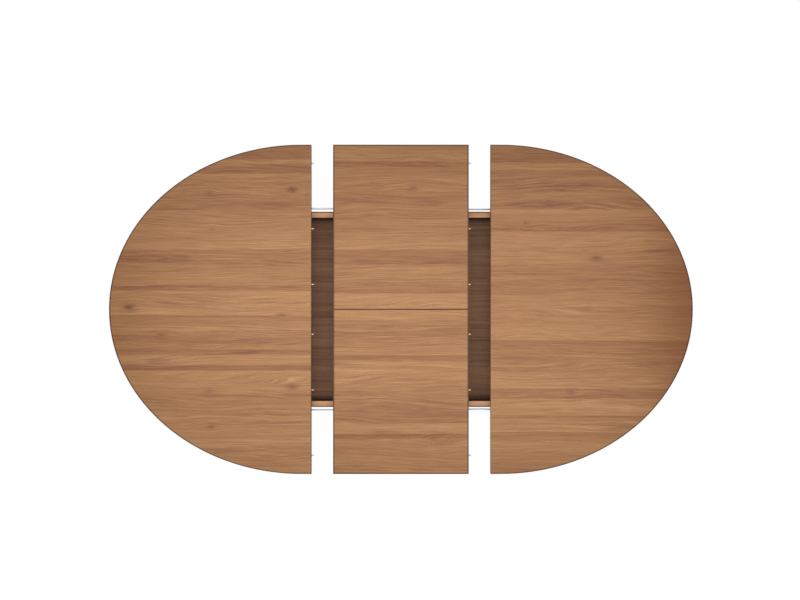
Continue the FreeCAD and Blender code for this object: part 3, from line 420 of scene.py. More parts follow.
# Painted shade on the rails' inner faces.
INNER_FACE_SHADE = Tint(linear(54, 36, 25))
LIPPING = ((0.25, linear(92, 63, 44)), (0.75, linear(130, 92, 65)))
BROAD_BANDS = Lines(1.6, 60.0, 2.0, 0.5, 0.38)
GROWTH_RINGS = Lines(2.6, 240.0, 3.0, 0.70, 1.05)
FINE_LINES = Lines(11.0, 760.0, 3.0, 0.70, 1.50)
ROSY_PATCHES = Lines(1.9, 26.0, 5.0, 0.70)
WOOD_GLOSS = 0.35
WOOD_RELIEF = 0.00008


@dataclass(frozen=True)
class WalnutVeneer:
    """Light walnut veneer in strips of uneven width under a matte lacquer."""

    name: str
    lay_up: tuple[Strip, ...]  # The strips, from the +Y edge of the table to its -Y edge.
    knots: tuple[Knot, ...]
    streaks: tuple[Streak, ...]
    outline: RoundEnd | SquareLeaf
    seed: float  # A shift that gives each sheet its own figure.
    end_shade: float = 0.0  # How far painted shade darkens the wood towards the table's end, where the light falls off, 0 to 1.
    end_shade_from: float = 0.84  # Distance from the table's middle where it begins to darken.
    end_shade_to: float = 1.07  # Distance where it is darkest.
    rim_shade_width: float = 0.0046  # Width of the painted shade line along the board's edges.
    span: float = 1.2  # Width of the whole lay-up.
    joint: float = 0.0006  # Half of the width over which one strip's tone turns into the next one's.
    bend: float = 0.105  # How far the grain wanders from a straight line.
    # Colours of the wood from its darkest growth to its lightest.
    palette: tuple[Stop, ...] = (
        (0.0, linear(127, 80, 53)), (0.28, linear(151, 102, 67)), (0.52, linear(167, 119, 77)),
        (0.75, linear(181, 132, 88)), (1.0, linear(197, 149, 103)),
    )

    # Changes in a metre along, across and through the sheet, of torn grain, fibres, pores and lipping.
    TEARS, FIBRES, PORES = (60.0, 95.0, 60.0), (16.0, 900.0, 300.0), (90.0, 2600.0, 900.0)
    LIPS = (5.0, 5.0, 420.0)
    # How far torn grain shifts the outline of a knot or streak, along and across.
    RAGGED = (0.045, 0.022)
    # From where to where noise turns into rosy wood, pits and breaks in a streak, and a face is level.
    ROSY, PITS, BREAKS, LEVEL = (0.05, 0.22), (0.60, 0.72), (0.30, 0.58), (0.80, 0.97)

    def strips(self, across: Signal) -> tuple[Signal, Signal]:
        """Lay the strips out.

        Args:
            across: Place across the table.

        Returns:
            The strip's tone at that place, and a number that is the strip's own.
        """
        # A ramp holds 32 stops at most, so the rear and the front strips have one each.
        board, joint = across.board, self.joint / self.span
        rear, front, marks, place = [], [], [], 0.0
        for index, strip in enumerate(self.lay_up):
            end = place + strip.width / self.span
            tones = rear if 2 * index < len(self.lay_up) else front
            tones.append((place + joint, grey(strip.start.value)))
            tones.append((min(end - joint, 1.0), grey(strip.end.value)))
            marks.append((place, grey((index * 0.618) % 1.0)))
            place = end
        share = (self.span / 2 - across) / self.span
        is_front = board.maths("GREATER_THAN", share, front[0][0])
        tone = board.blend(is_front, board.ramp(share, rear), board.ramp(share, front))
        return tone, board.ramp(share, marks, stepped=True)

    def flow(self, place: Signal) -> tuple[Signal, Signal, Signal]:
        """Lead the grain round the knots.

        Args:
            place: The object coordinates.

        Returns:
            The grain's own place across, how deep in a knot a place is, and how deep in a streak.
        """
        board = place.board
        along, across, _ = board.split(place)
        torn = board.noise(board.stretched(place, self.TEARS), 3.0, scale=5.0, output="Color")
        ragged = [spot + (shake - 0.5) * reach
                  for spot, shake, reach in zip((along, across), board.split(torn), self.RAGGED)]
        led = across
        for knot in self.knots:
            near = 1.0 / (knot.far(along, across) + 1.0)
            led = led - (across - knot.across) * near
        core = sum(knot.heart(*ragged) for knot in self.knots)
        return led, core, sum(streak.stain(*ragged) for streak in self.streaks)

    def figure(self, place: Signal, led: Signal, own: Signal) -> tuple[Signal, Signal, Signal]:
        """Draw the growth lines of each strip.

        Args:
            place: The object coordinates.
            led: The grain's own place across.
            own: The number that is the strip's own.

        Returns:
            The growth lines, about 0, how rosy a place is, 0 to 1, and the place that fibres follow.
        """
        board = place.board
        along, _, height = board.split(place)
        layer = own * 40.0 + self.seed
        drift = board.noise(board.joined(along * 1.3, led * 9.0, layer), 1.6)
        bent = led + drift * self.bend
        broad, rings, fine, rosy = (lines.drawn(along, bent, layer)
                                    for lines in (BROAD_BANDS, GROWTH_RINGS, FINE_LINES, ROSY_PATCHES))
        return broad + rings + fine, board.between(rosy, *self.ROSY), board.joined(along, bent, height)

    def material(self) -> Material:
        """Build the material.

        Returns:
            The veneer.
        """
        board = FinishBoard(self.name)
        place = board.coordinates()
        along, across, _ = board.split(place)
        tone, own = self.strips(across)
        led, core, stain = self.flow(place)
        growth, rosy, led_place = self.figure(place, led, own)
        sheet = (self.seed, self.seed * 3.7, 0.0)
        fibre = board.noise(board.stretched(led_place, self.FIBRES, sheet), 3.0, 0.7)
        pitted = board.between(board.noise(board.stretched(led_place, self.PORES, sheet), 1.0), *self.PITS)
        broken = board.between(board.noise(board.joined(along * 9.0, led * 330.0, self.seed)), *self.BREAKS)
        end = board.between(abs(along), self.end_shade_from, self.end_shade_to)
        inset = self.outline.inset(along, across)
        colour = board.ramp(tone + growth + (fibre - 0.5) * 0.4, self.palette)
        colour = ROSE.over(colour, rosy)
        colour = MINERAL.over(colour, stain * broken)
        colour = KNOT_HEART.over(colour, board.maths("MINIMUM", core, 0.8))
        colour = PORES.over(colour, pitted)
        # Painted shade: the wood darkens towards the table's end, where the light falls off.
        colour = board.blend(end * self.end_shade, colour, END_FALLOFF_SHADE)
        # Painted shade: a darker line along the board's edges.
        colour = RIM_SHADE.over(colour, 1.0 - board.between(inset, self.rim_shade_width * 0.6, self.rim_shade_width * 1.4))
        band = board.noise(board.stretched(place, self.LIPS, sheet), 3.0, 0.6)
        flat = board.between(board.facing(Axis.Z), *self.LEVEL)
        return board.shade(
            Base_Color=board.blend(flat, board.ramp(band, LIPPING), colour),
            Roughness=fibre * 0.14 + 0.44,
            Specular_IOR_Level=WOOD_GLOSS,
            Normal=board.bump(fibre - pitted * 0.6, WOOD_RELIEF),
        )


@dataclass(frozen=True)
class FaceShade:
    """Painted shade on a frame board's two faces."""

    axis: Axis  # The axis across the board.
    inside: float  # Distance of its inner face from the table's middle.
    outside: float  # Distance of its outer face.
    facing: float = 0.0044  # Width of the painted shade band at the outer edge.
    fade: float = 0.0004  # Width over which the painted shade band begins.
    skin: float = 0.001  # Depth of the painted shade on the inner face.

    def painted_shade(self, place: Signal, colour: Signal) -> Signal:
        """Paint shade on the inner face and on a band at the outer edge.

        Args:
            place: The object coordinates.
            colour: The wood's own colour.

        Returns:
            The colour with the painted shade on both faces.
        """
        board = place.board
        across = abs(board.split(place)[self.axis.value])
        edge = self.outside - self.facing
        outer_shaded = board.between(across, edge - self.fade / 2, edge + self.fade / 2)
        upright = board.between(board.facing(self.axis), 0.5, 0.8)
        inner = 1.0 - board.between(across, self.inside + self.skin, self.inside + self.skin * 2)
        # Painted shade: the inner face darkened, and a dark band at the outer edge.
        return INNER_FACE_SHADE.over(OUTER_EDGE_SHADE.over(colour, outer_shaded), inner * upright)


@dataclass(frozen=True)
class SolidWalnut:
    """Solid walnut with its grain along one axis, matte lacquered."""

    name: str
    axis: Axis  # The grain's direction.
    dark: Rgb  # Colour of the late wood.
    light: Rgb  # Colour of the early wood.
    roughness: float = 0.5
    faces: FaceShade | None = None  # Painted shade on a frame board's two faces.

    def material(self) -> Material:
        """Build the material.

        Returns:
            The wood.
        """
        board = FinishBoard(self.name)
        place = board.coordinates()

        def grain(source: Signal, along: float, across: float, detail: float = 2.0,
                  roughness: float = 0.5) -> Signal:
            """Give noise with its own scales along the grain and across it."""
            scale = tuple(along if axis is self.axis else across for axis in Axis)
            return board.noise(board.stretched(source, scale), detail, roughness)

        shift = grain(place, 1.4, 9.0) * 0.05
        moved = {0: place, 1: board.joined(shift, shift, shift)}
        bent = board.give(0, "ShaderNodeVectorMath", moved, operation="ADD")
        fibre = grain(place, 25.0, 1100.0, 3.0, 0.7)
        pitted = board.between(grain(place, 90.0, 2200.0, 1.0), 0.62, 0.74)
        value = grain(bent, 2.0, 130.0, 3.0, 0.6) * 0.5 + grain(bent, 1.5, 28.0) * 0.35 + fibre * 0.25
        colour = board.ramp(value, [(0.3, linear(*self.dark)), (0.8, linear(*self.light))])
        deep = linear(*(part // 2 for part in self.dark))
        colour = board.blend(pitted * 0.3, colour, deep)
        # Painted shade on the board's faces.
        if self.faces:
            colour = self.faces.painted_shade(place, colour)
        return board.shade(
            Base_Color=colour,
            Roughness=fibre * 0.12 + (self.roughness - 0.06),
            Specular_IOR_Level=WOOD_GLOSS,
            Normal=board.bump(fibre - pitted * 0.5, WOOD_RELIEF),
        )


@dataclass(frozen=True)
class Metal:
    """A bare or plated metal."""

    name: str
    dark: Rgb  # Colour in its duller patches.
    bright: Rgb  # Colour in its brighter patches.
    roughness: float
    brushed: float = 1.0  # How far the brush marks stretch along X.

    def material(self) -> Material:
        """Build the material.

        Returns:
            The metal.
        """
        board = FinishBoard(self.name)
        place = board.coordinates()
        patches = board.noise(board.stretched(place, (18.0, 55.0, 55.0)), 3.0)
        marks = board.noise(board.stretched(place, (900.0 / self.brushed, 1500.0, 1500.0)))
        return board.shade(
            Base_Color=board.ramp(patches, [(0.3, linear(*self.dark)), (0.7, linear(*self.bright))]),
            Metallic=1.0,
            Roughness=patches * 0.1 + (self.roughness - 0.05) + (marks - 0.5) * 0.12,
            Normal=board.bump(marks, 0.00001),
        )


@dataclass(frozen=True)
class Moulding:
    """A moulded or sprayed finish with a fine skin."""

    name: str
    dark: Rgb  # Colour in its hollows.
    light: Rgb  # Colour on its high places.
    roughness: float
    grit: float  # Size of the skin's grain in metres.
    depth: float  # Depth of that grain.

    def material(self) -> Material:
        """Build the material.

        Returns:
            The moulding's skin.
        """
        board = FinishBoard(self.name)
        place = board.coordinates()
        mottle = board.noise(place, 3.0, scale=60.0)
        skin = board.noise(place, scale=1.0 / self.grit)
        return board.shade(
            Base_Color=board.ramp(mottle, [(0.3, linear(*self.dark)), (0.7, linear(*self.light))]),
            Roughness=skin * 0.1 + (self.roughness - 0.05),
            Specular_IOR_Level=0.4,
            Normal=board.bump(skin, self.depth),
        )


LEFT_LAY_UP = lay_up(
    "54 DUSKY DUSKY, 16 FAIR FAIR, 34 DUSKY DARK, 135 FAIR DUSKY, 142 MIDDLE LIGHT, 55 DUSKY DUSKY, "
    "76 MIDDLE FAIR, 19 DARK DUSKY, 90 LIGHT LIGHT, 54 DUSKY LIGHT, 49 MIDDLE DUSKY, 24 MIDDLE MIDDLE, "
    "18 DARK DUSKY, 36 LIGHT FAIR, 20 DARK DARK, 87 LIGHT FAIR, 98 DUSKY FAIR, 91 MIDDLE LIGHT, "
    "102 MIDDLE FAIR"
)
LEAF_LAY_UP = lay_up(
    "62 MIDDLE FAIR, 20 DARK DARK, 91 MIDDLE MIDDLE, 138 DUSKY MIDDLE, 70 MIDDLE LIGHT, 58 DUSKY DARK, "
    "73 MIDDLE FAIR, 29 DUSKY DUSKY, 59 LIGHT LIGHT, 39 LIGHT LIGHT, 55 MIDDLE DUSKY, 71 MIDDLE FAIR, "
    "23 DARK DUSKY, 125 LIGHT MIDDLE, 104 MIDDLE DUSKY, 36 LIGHT LIGHT, 20 DARK DARK, 130 FAIR MIDDLE"
)
RIGHT_LAY_UP = lay_up(
    "68 DUSKY DARK, 25 FAIR FAIR, 79 DUSKY DUSKY, 63 MIDDLE DUSKY, 80 LIGHT DARK, 120 FAIR FAIR, "
    "62 MIDDLE DUSKY, 91 DUSKY FAIR, 124 MIDDLE LIGHT, 80 DUSKY MIDDLE, 98 MIDDLE LIGHT, "
    "34 DUSKY DUSKY, 62 LIGHT LIGHT, 12 DUSKY DUSKY, 48 FAIR LIGHT, 34 DUSKY MIDDLE, 33 FAIR LIGHT, "
    "91 FAIR DUSKY"
)
LEFT_KNOTS = (
    Knot(-0.396, 0.436, 0.85), Knot(-0.698, 0.423, 0.35), Knot(-0.99, 0.008, 0.85, 0.026, 0.014),
    Knot(-0.690, 0.290, 0.2), Knot(-0.873, -0.093, 0.5), Knot(-0.436, -0.024, 0.4),
    Knot(-0.396, -0.283, 0.65, 0.026, 0.014), Knot(-0.698, -0.297, 0.3), Knot(-0.691, -0.428, 0.3),
)
LEFT_STREAKS = (
    Streak(-0.472, 0.377, 0.32, 0.095, 0.017), Streak(-0.56, 0.562, 0.45, 0.075, 0.010),
    Streak(-0.83, 0.180, 0.55, 0.085, 0.009), Streak(-0.567, -0.155, 0.6, 0.065, 0.009),
    Streak(-0.88, -0.19, 0.35, 0.060, 0.012), Streak(-0.62, -0.52, 0.35, 0.080, 0.010),
)
LEAF_KNOTS = (Knot(0.044, 0.442, 0.5), Knot(-0.15, -0.31, 0.25), Knot(0.12, -0.47, 0.3))
LEAF_STREAKS = (Streak(0.10, 0.385, 0.35, 0.075, 0.012), Streak(-0.13, 0.175, 0.35, 0.070, 0.009),
                Streak(-0.06, -0.445, 0.35, 0.080, 0.010))
RIGHT_KNOTS = (
    Knot(0.455, 0.314, 0.5, 0.012, 0.008), Knot(0.714, 0.187, 0.6, 0.030, 0.014), Knot(0.685, 0.012, 0.35),
    Knot(0.62, -0.30, 0.45),
)
RIGHT_STREAKS = (
    Streak(0.506, 0.383, 0.62, 0.150, 0.015), Streak(0.62, 0.452, 0.45, 0.150, 0.009),
    Streak(0.42, 0.446, 0.35, 0.070, 0.009), Streak(0.945, 0.214, 0.5, 0.085, 0.010),
    Streak(0.90, -0.205, 0.4, 0.080, 0.010),
)
# The straight part of each half top, from its inner edge to where its curve begins.
STRAIGHT = 0.0349
TOP_LOW, TOP_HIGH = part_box("right_half_top")
LEAF_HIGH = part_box("leaf_rear_panel")[1]
RAIL_LOW, RAIL_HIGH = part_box("rear_side_rail")
END_LOW, END_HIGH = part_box("right_end_rail")
TRAY_LOW, TRAY_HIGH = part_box("tray_floor")
CURVE = TOP_LOW.x + STRAIGHT
# The last number of each half's veneer is how far painted shade darkens it towards the table's end.
LEFT_VENEER = WalnutVeneer("walnut_veneer_left", LEFT_LAY_UP, LEFT_KNOTS, LEFT_STREAKS,
                           RoundEnd(-CURVE, CURVE - TOP_HIGH.x, TOP_HIGH.y), 0.0, 0.10)
LEAF_VENEER = WalnutVeneer("walnut_veneer_leaf", LEAF_LAY_UP, LEAF_KNOTS, LEAF_STREAKS,
                           SquareLeaf(LEAF_HIGH.x, LEAF_HIGH.y), 2.3)
RIGHT_VENEER = WalnutVeneer("walnut_veneer_right", RIGHT_LAY_UP, RIGHT_KNOTS, RIGHT_STREAKS,
                            RoundEnd(CURVE, TOP_HIGH.x - CURVE, TOP_HIGH.y), 6.1, 0.50)
WOOD_DARK, WOOD_LIGHT = (152, 102, 64), (200, 148, 102)
# The rails and end rails carry painted shade on their inner faces and outer edges.
RAIL_WOOD = SolidWalnut("light_walnut_along", Axis.X, (174, 124, 84), (221, 169, 123),
                        faces=FaceShade(Axis.Y, RAIL_LOW.y, RAIL_HIGH.y))
END_RAIL_WOOD = SolidWalnut("light_walnut_across", Axis.Y, (170, 120, 80), (218, 166, 120),
                            faces=FaceShade(Axis.X, END_LOW.x, END_HIGH.x))
CLEAT_WOOD = SolidWalnut("light_walnut_cleats", Axis.X, WOOD_DARK, WOOD_LIGHT)
LEG_WOOD = SolidWalnut("light_walnut_upright", Axis.Z, WOOD_DARK, WOOD_LIGHT)
# The tray floor darkens within about 24 mm of the rails as painted shade.
TRAY_WOOD = SolidWalnut("dark_walnut_tray", Axis.X, (81, 52, 33), (184, 133, 100), 0.6,
                        FaceShade(Axis.Y, 0.0, TRAY_HIGH.y, 0.014, 0.020))
ZINC = Metal("zinc_plate", (172, 177, 181), (196, 201, 205), 0.34, 6.0)
BRASS = Metal("turned_brass", (196, 164, 112), (222, 194, 144), 0.36)
BLACKED = Metal("blackened_steel", (52, 44, 38), (66, 57, 50), 0.45)
POWDER_COAT = Moulding("black_powder_coat", (26, 26, 28), (38, 38, 40), 0.5, 0.0006, 0.00004)
NYLON = Moulding("natural_nylon", (222, 219, 208), (236, 234, 226), 0.45, 0.0009, 0.00002)
RUBBER = Moulding("black_rubber", (24, 24, 24), (40, 40, 40), 0.78, 0.0005, 0.00005)


@cache
def stock(finish: object) -> Material:
    """Give a finish's material, built once."""
    return finish.material()


def placed(name: str, data: ID) -> Object:
    """Add an object to the scene.

    Args:
        name: The object's name.
        data: Its mesh, lamp or camera.

    Returns:
        The object.
    """
    made = bpy.data.objects.new(name, data)
    bpy.context.scene.collection.objects.link(made)
    return made


def dress(finish: object, *nodes: str) -> None:
    """Put a finish on CAD nodes that keep their shape.

    Args:
        finish: The finish.
        nodes: The nodes' names.
    """
    for name in nodes:
        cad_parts[name].material_slots[0].material = stock(finish)
        LOG.info("%s: dressed in %s", name, finish.name)


def piece(name: str, mesh: Mesh, finish: object, body: str, slot: str,
          stands_for: tuple[str, ...]) -> None:
    """Make a finished piece of the table.

    Args:
        name: The piece's name.
        mesh: Its mesh, in place.
        finish: Its finish.
        body: The CAD body that it rides on.
        slot: The record's material slot; not used.
        stands_for: The CAD nodes that it replaces.
    """
    mesh.name = name
    mesh.materials.clear()
    mesh.materials.append(stock(finish))
    made = placed(name, mesh)
    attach(made, body)
    if stands_for:
        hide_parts(*stands_for)
    LOG.info("%s: rides on %s", name, body)


def welded(node: str) -> BMesh:
    """Copy a node's mesh with its doubles merged.

    Args:
        node: The node's name.

    Returns:
        The copy, which the caller frees.
    """
    mesh = bmesh.new()
    mesh.from_mesh(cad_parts[node].data)
    bmesh.ops.remove_doubles(mesh, verts=mesh.verts, dist=WELD)
    return mesh


@dataclass(frozen=True)
class Solid:
    """One solid of a node."""

    low: Vector
    high: Vector
    corners: tuple[Vector, ...]

    @property
    def middle(self) -> Vector:
        """The middle of its box."""
        return (self.low + self.high) / 2

    @property
    def height(self) -> float:
        """The height of its box."""
        return self.high.z - self.low.z

    def head_is_low(self) -> bool:
        """Tell where an upright screw has its head, which is its widest part.

        Returns:
            Whether it is at the lower end.
        """
        reach = [(corner.xy - self.middle.xy).length for corner in self.corners]
        heads = [corner.z for corner, far in zip(self.corners, reach) if far > 0.9 * max(reach)]
        return sum(heads) / len(heads) < self.middle.z


def solids(node: str) -> list[Solid]:
    """List the separate solids of a node.

    Args:
        node: The node's name.

    Returns:
        The solids, in the mesh's own order.
    """
    mesh = welded(node)
    left, found = set(mesh.verts), []
    for start in mesh.verts:
        if start not in left:
            continue
        left.discard(start)
        queue, group = [start], []
        while queue:
            vertex = queue.pop()
            group.append(vertex.co.copy())
            for edge in vertex.link_edges:
                other = edge.other_vert(vertex)
                if other in left:
                    left.discard(other)
                    queue.append(other)
        low, high = (Vector([pick(corner[axis] for corner in group) for axis in range(3)])
                     for pick in (min, max))
        found.append(Solid(low, high, tuple(group)))
    mesh.free()
    return found


def sized(shares: Shares, radius: float, height: float) -> Profile:
    """Give a profile from shares of a radius and of a height."""
    return [(radius * wide, height * up) for wide, up in shares]


def turned(profile: Profile, sides: int) -> BMesh:
    """Turn a profile round the Z axis into a closed shape.

    Args:
        profile: Radius and height of each ring, from the lower pole to the upper one.
        sides: Faces round the axis.

    Returns:
        The turned shape.
    """
    mesh = bmesh.new()
    turns = [2 * math.pi * side / sides for side in range(sides)]
    rings = []
    for radius, height in profile:
        if radius < WELD:
            rings.append([mesh.verts.new((0.0, 0.0, height))] * sides)
        else:
            rings.append([mesh.verts.new((radius * math.cos(turn), radius * math.sin(turn), height))
                          for turn in turns])
    for lower, upper in zip(rings, rings[1:]):
        for side in range(sides):
            after = (side + 1) % sides
            corners = list(dict.fromkeys((lower[side], lower[after], upper[after], upper[side])))
            if len(corners) > 2:
                mesh.faces.new(corners)
    bmesh.ops.recalc_face_normals(mesh, faces=mesh.faces)
    return mesh


def as_mesh(shape: BMesh, name: str, smooth_under: float = 35.0) -> Mesh:
    """Turn a shape into a mesh with smooth shading up to an angle.

    Args:
        shape: The shape, which is freed.
        name: The mesh's name.
        smooth_under: The widest angle in degrees that is shaded smooth.

    Returns:
        The mesh.
    """
    limit = math.radians(smooth_under)
    for face in shape.faces:
        face.smooth = True
    for edge in shape.edges:
        edge.smooth = len(edge.link_faces) == 2 and edge.calc_face_angle(0.0) < limit
    mesh = bpy.data.meshes.new(name)
    shape.to_mesh(mesh)
    shape.free()
    return mesh


def joined(shapes: list[BMesh]) -> BMesh:
    """Join shapes into one, and free them.

    Args:
        shapes: The shapes.

    Returns:
        The whole.
    """
    whole = bmesh.new()
    for shape in shapes:
        part = as_mesh(shape, "part")
        whole.from_mesh(part)
        bpy.data.meshes.remove(part)
    return whole


def scrap(item: Object) -> None:
    """Remove an object and its mesh.

    Args:
        item: The object.
    """
    mesh = item.data
    bpy.data.objects.remove(item)
    bpy.data.meshes.remove(mesh)


def applied(item: Object) -> Mesh:
    """Give the plain mesh that an object's modifier makes, and remove the object.

    Args:
        item: The object.

    Returns:
        The mesh.
    """
    graph = bpy.context.evaluated_depsgraph_get()
    made = bpy.data.meshes.new_from_object(item.evaluated_get(graph))
    item.modifiers.clear()
    scrap(item)
    return made


def ease(node: str, finish: object, body: str, slot: str, width: float, steps: int = 2,
         rim_only: bool = False) -> None:
    """Replace a node by its own shape with softly rounded edges.

    Args:
        node: The CAD node.
        finish: Its finish.
        body: The CAD body that it rides on.
        slot: The record's material slot.
        width: Width of the rounding.
        steps: Faces across the rounding.
        rim_only: Whether only the edges of the upper and lower faces are rounded.
    """
    shape = welded(node)
    bmesh.ops.dissolve_limit(shape, angle_limit=math.radians(1.0), verts=shape.verts, edges=shape.edges)
    bmesh.ops.recalc_face_normals(shape, faces=shape.faces)
    levels, sharp = [corner[2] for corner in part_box(node)], math.radians(30)

    def on_rim(edge: BMEdge) -> bool:
        """Tell whether an edge lies in the upper or the lower face."""
        return any(all(abs(vertex.co.z - level) < WELD for vertex in edge.verts) for level in levels)

    rounded = [edge.calc_face_angle(0.0) >= sharp and (not rim_only or on_rim(edge)) for edge in shape.edges]
    mesh = as_mesh(shape, node + "_eased")
    weights = mesh.attributes.new("bevel_weight_edge", "FLOAT", "EDGE")
    weights.data.foreach_set("value", [float(is_round) for is_round in rounded])
    for edge, is_round in zip(mesh.edges, rounded):
        edge.use_edge_sharp = edge.use_edge_sharp and not is_round
    blank = placed(node + "_blank", mesh)
    bevel = blank.modifiers.new("rounding", "BEVEL")
    bevel.limit_method = "WEIGHT"
    bevel.width, bevel.segments = width, steps
    bevel.harden_normals = True
    piece(node + "_eased", applied(blank), finish, body, slot, (node,))


class Hardware:
    """A Geometry Nodes tree that sets one fitting at many places.

    Its inputs are the fitting, the finish, and the seed that turns each copy about its own axis.
    """

    POINTS, ITEM, FINISH, SEED, FREE = "Geometry", "Fitting", "Finish", "Turn Seed", "Free Turn"
    # Sockets of the Random Value node that hold its highest number and its result.
    RANDOM_MAX, RANDOM_RESULT = 3, 1

    def __init__(self) -> None:
        """Build the tree."""
        self.tree = bpy.data.node_groups.new("set_fittings", "GeometryNodeTree")
        face, self.sockets = self.tree.interface, {}
        for name, kind in ((self.POINTS, "Geometry"), (self.ITEM, "Object"), (self.FINISH, "Material"),
                           (self.SEED, "Int"), (self.FREE, "Float")):
            socket = face.new_socket(name, in_out="INPUT", socket_type="NodeSocket" + kind)
            self.sockets[name] = socket.identifier
        face.new_socket(self.POINTS, in_out="OUTPUT", socket_type="NodeSocketGeometry")
        board = NodeBoard(self.tree, "NodeGroupOutput")
        entry = board.add("NodeGroupInput").outputs
        aim = board.give("Attribute", "GeometryNodeInputNamedAttribute", {"Name": "aim"},
                         data_type="FLOAT_VECTOR")
        aimed = board.give(0, "FunctionNodeAlignRotationToVector", {"Vector": aim}, axis="Z")
        angle = board.give(self.RANDOM_RESULT, "FunctionNodeRandomValue",
                           {self.RANDOM_MAX: entry[self.FREE], "Seed": entry[self.SEED]}, data_type="FLOAT")
        turn = board.give(0, "FunctionNodeAxisAngleToRotation", {"Axis": (0.0, 0.0, 1.0), "Angle": angle})
        pose = board.give(0, "FunctionNodeRotateRotation", {"Rotation": aimed, "Rotate By": turn},
                          rotation_space="LOCAL")
        item = board.give("Geometry", "GeometryNodeObjectInfo", {"Object": entry[self.ITEM]},
                          transform_space="ORIGINAL")
        copies = board.give(0, "GeometryNodeInstanceOnPoints",
                            {"Points": entry[self.POINTS], "Instance": item, "Rotation": pose})
        real = board.give(0, "GeometryNodeRealizeInstances", {0: copies})
        dressed = board.give(0, "GeometryNodeSetMaterial",
                             {"Geometry": real, "Material": entry[self.FINISH]})
        board.feed(board.output.inputs[0], dressed)

    def place(self, name: str, item: Object, spots: Spots, finish: object, seed: int,
              free: float) -> Mesh:
        """Set a fitting at each spot.

        Args:
            name: The mesh's name.
            item: The fitting, with its seat at the origin and its head along +Z.
            spots: The place and the outward direction of each copy.
            finish: The fitting's finish.
            seed: The seed of the turns.
            free: The widest turn in radians.

        Returns:
            One plain mesh with all copies.
        """
        points = bpy.data.meshes.new(name + "_spots")
        points.from_pydata([tuple(spot) for spot, _ in spots], [], [])
        aims = points.attributes.new("aim", "FLOAT_VECTOR", "POINT")
        for index, (_, aim) in enumerate(spots):
            aims.data[index].vector = aim
        carrier = placed(name + "_carrier", points)
        modifier = carrier.modifiers.new("set_fittings", "NODES")
        modifier.node_group = self.tree
        for socket, value in ((self.ITEM, item), (self.FINISH, stock(finish)), (self.SEED, seed),
                              (self.FREE, free)):
            modifier[self.sockets[socket]] = value
        return applied(carrier)


def spread(first: float, last: float, count: int) -> list[float]:
    """Give evenly spaced places from the first to the last."""
    return [first + (last - first) * step / (count - 1) for step in range(count)]


def towards_middle(place: float) -> float:
    """Give the direction from a place back to the table's middle, as 1 or -1."""
    return -math.copysign(1.0, place)


@dataclass
class WoodScrews:
    """Pan head screws with a cross recess, one set for each body."""

    head_radius: float = 0.0042
    head_height: float = 0.0030
    # Outline of the head, as shares of its radius and height.
    head_form: Shares = ((0.94, 0.0), (1.0, 0.15), (1.0, 0.42), (0.93, 0.72), (0.78, 0.9), (0.56, 1.0),
                         (0.28, 1.0), (0.0, 1.0))
    shank_radius: float = 0.0022
    root: float = 0.72  # Radius between the threads, as a share of the shank's.
    length: float = 0.0100
    threads: int = 10
    flank: float = 0.0003  # Height from a thread's root to its crest.
    first: float = 0.6  # Place of the first thread, in turns from the tip.
    # The first thread's share of the full radius, and what each next one adds to it.
    tip: tuple[float, float] = (0.35, 0.25)
    recess: float = 0.0013
    shallow: float = 0.7  # Depth of the cross's arm ends, as a share of the recess.
    # How far out the cross's deep part and its arms reach, as shares of the head's radius.
    arm: tuple[float, float] = (0.4, 0.6)
    sides: int = 24
    spots: dict[str, Spots] = field(default_factory=dict)
    # CAD nodes that each body's set replaces.
    stands_for: dict[str, list[str]] = field(default_factory=dict)

    def shape(self) -> Mesh:
        """Model one screw with its head's seat at z = 0.

        Returns:
            Its mesh.
        """
        profile: Profile = [(0.0, -self.length)]
        for turn in range(self.threads):
            crest = -self.length + (turn + self.first) * self.length / self.threads
            full = min(1.0, self.tip[0] + turn * self.tip[1])
            profile += [(self.shank_radius * self.root * full, crest - self.flank),
                        (self.shank_radius * full, crest)]
        profile.append((self.shank_radius * self.root, 0.0))
        mesh = turned(profile + sized(self.head_form, self.head_radius, self.head_height), self.sides)
        deep, end = (share * self.head_radius for share in self.arm)
        quarter = self.sides // 4
        for vertex in mesh.verts:
            far = vertex.co.xy.length
            if vertex.co.z < self.head_height - WELD or far > end:
                continue
            turn = math.atan2(vertex.co.y, vertex.co.x) / (2 * math.pi) if far > WELD else 0.0
            side = round(turn * self.sides) % quarter
            if min(side, quarter - side) <= 1:
                vertex.co.z -= self.recess * (1.0 if far < deep else self.shallow)
        return as_mesh(mesh, "wood_screw", 28.0)

    def add(self, body: str, spot: Point, aim: Vector) -> None:
        """Add one screw to a body's set."""
        self.spots.setdefault(body, []).append((Vector(spot), aim))

    def take_over(self, body: str, node: str) -> None:
        """Set a screw at each solid of a node of upright screws, and replace the node.

        Args:
            body: The body that they ride on.
            node: The node.
        """
        for solid in solids(node):
            low, middle = solid.head_is_low(), solid.middle
            seat = solid.low.z + self.head_height if low else solid.high.z - self.head_height
            self.add(body, (middle.x, middle.y, seat), DOWN if low else -DOWN)
        self.stands_for.setdefault(body, []).append(node)

    def build(self, hardware: Hardware) -> None:
        """Make each body's set of screws.

        Args:
            hardware: The tree that sets them.
        """
        item = placed("screw_fitting", self.shape())
        for seed, (body, spots) in enumerate(sorted(self.spots.items())):
            name = body + "_screws"
            mesh = hardware.place(name, item, spots, ZINC, seed, 2 * math.pi)
            piece(name, mesh, ZINC, body, "zinc_steel", tuple(self.stands_for.get(body, ())))
        scrap(item)


@dataclass
class Assembly:
    """A sub-assembly, which adds its screws to the table's."""

    screws: WoodScrews


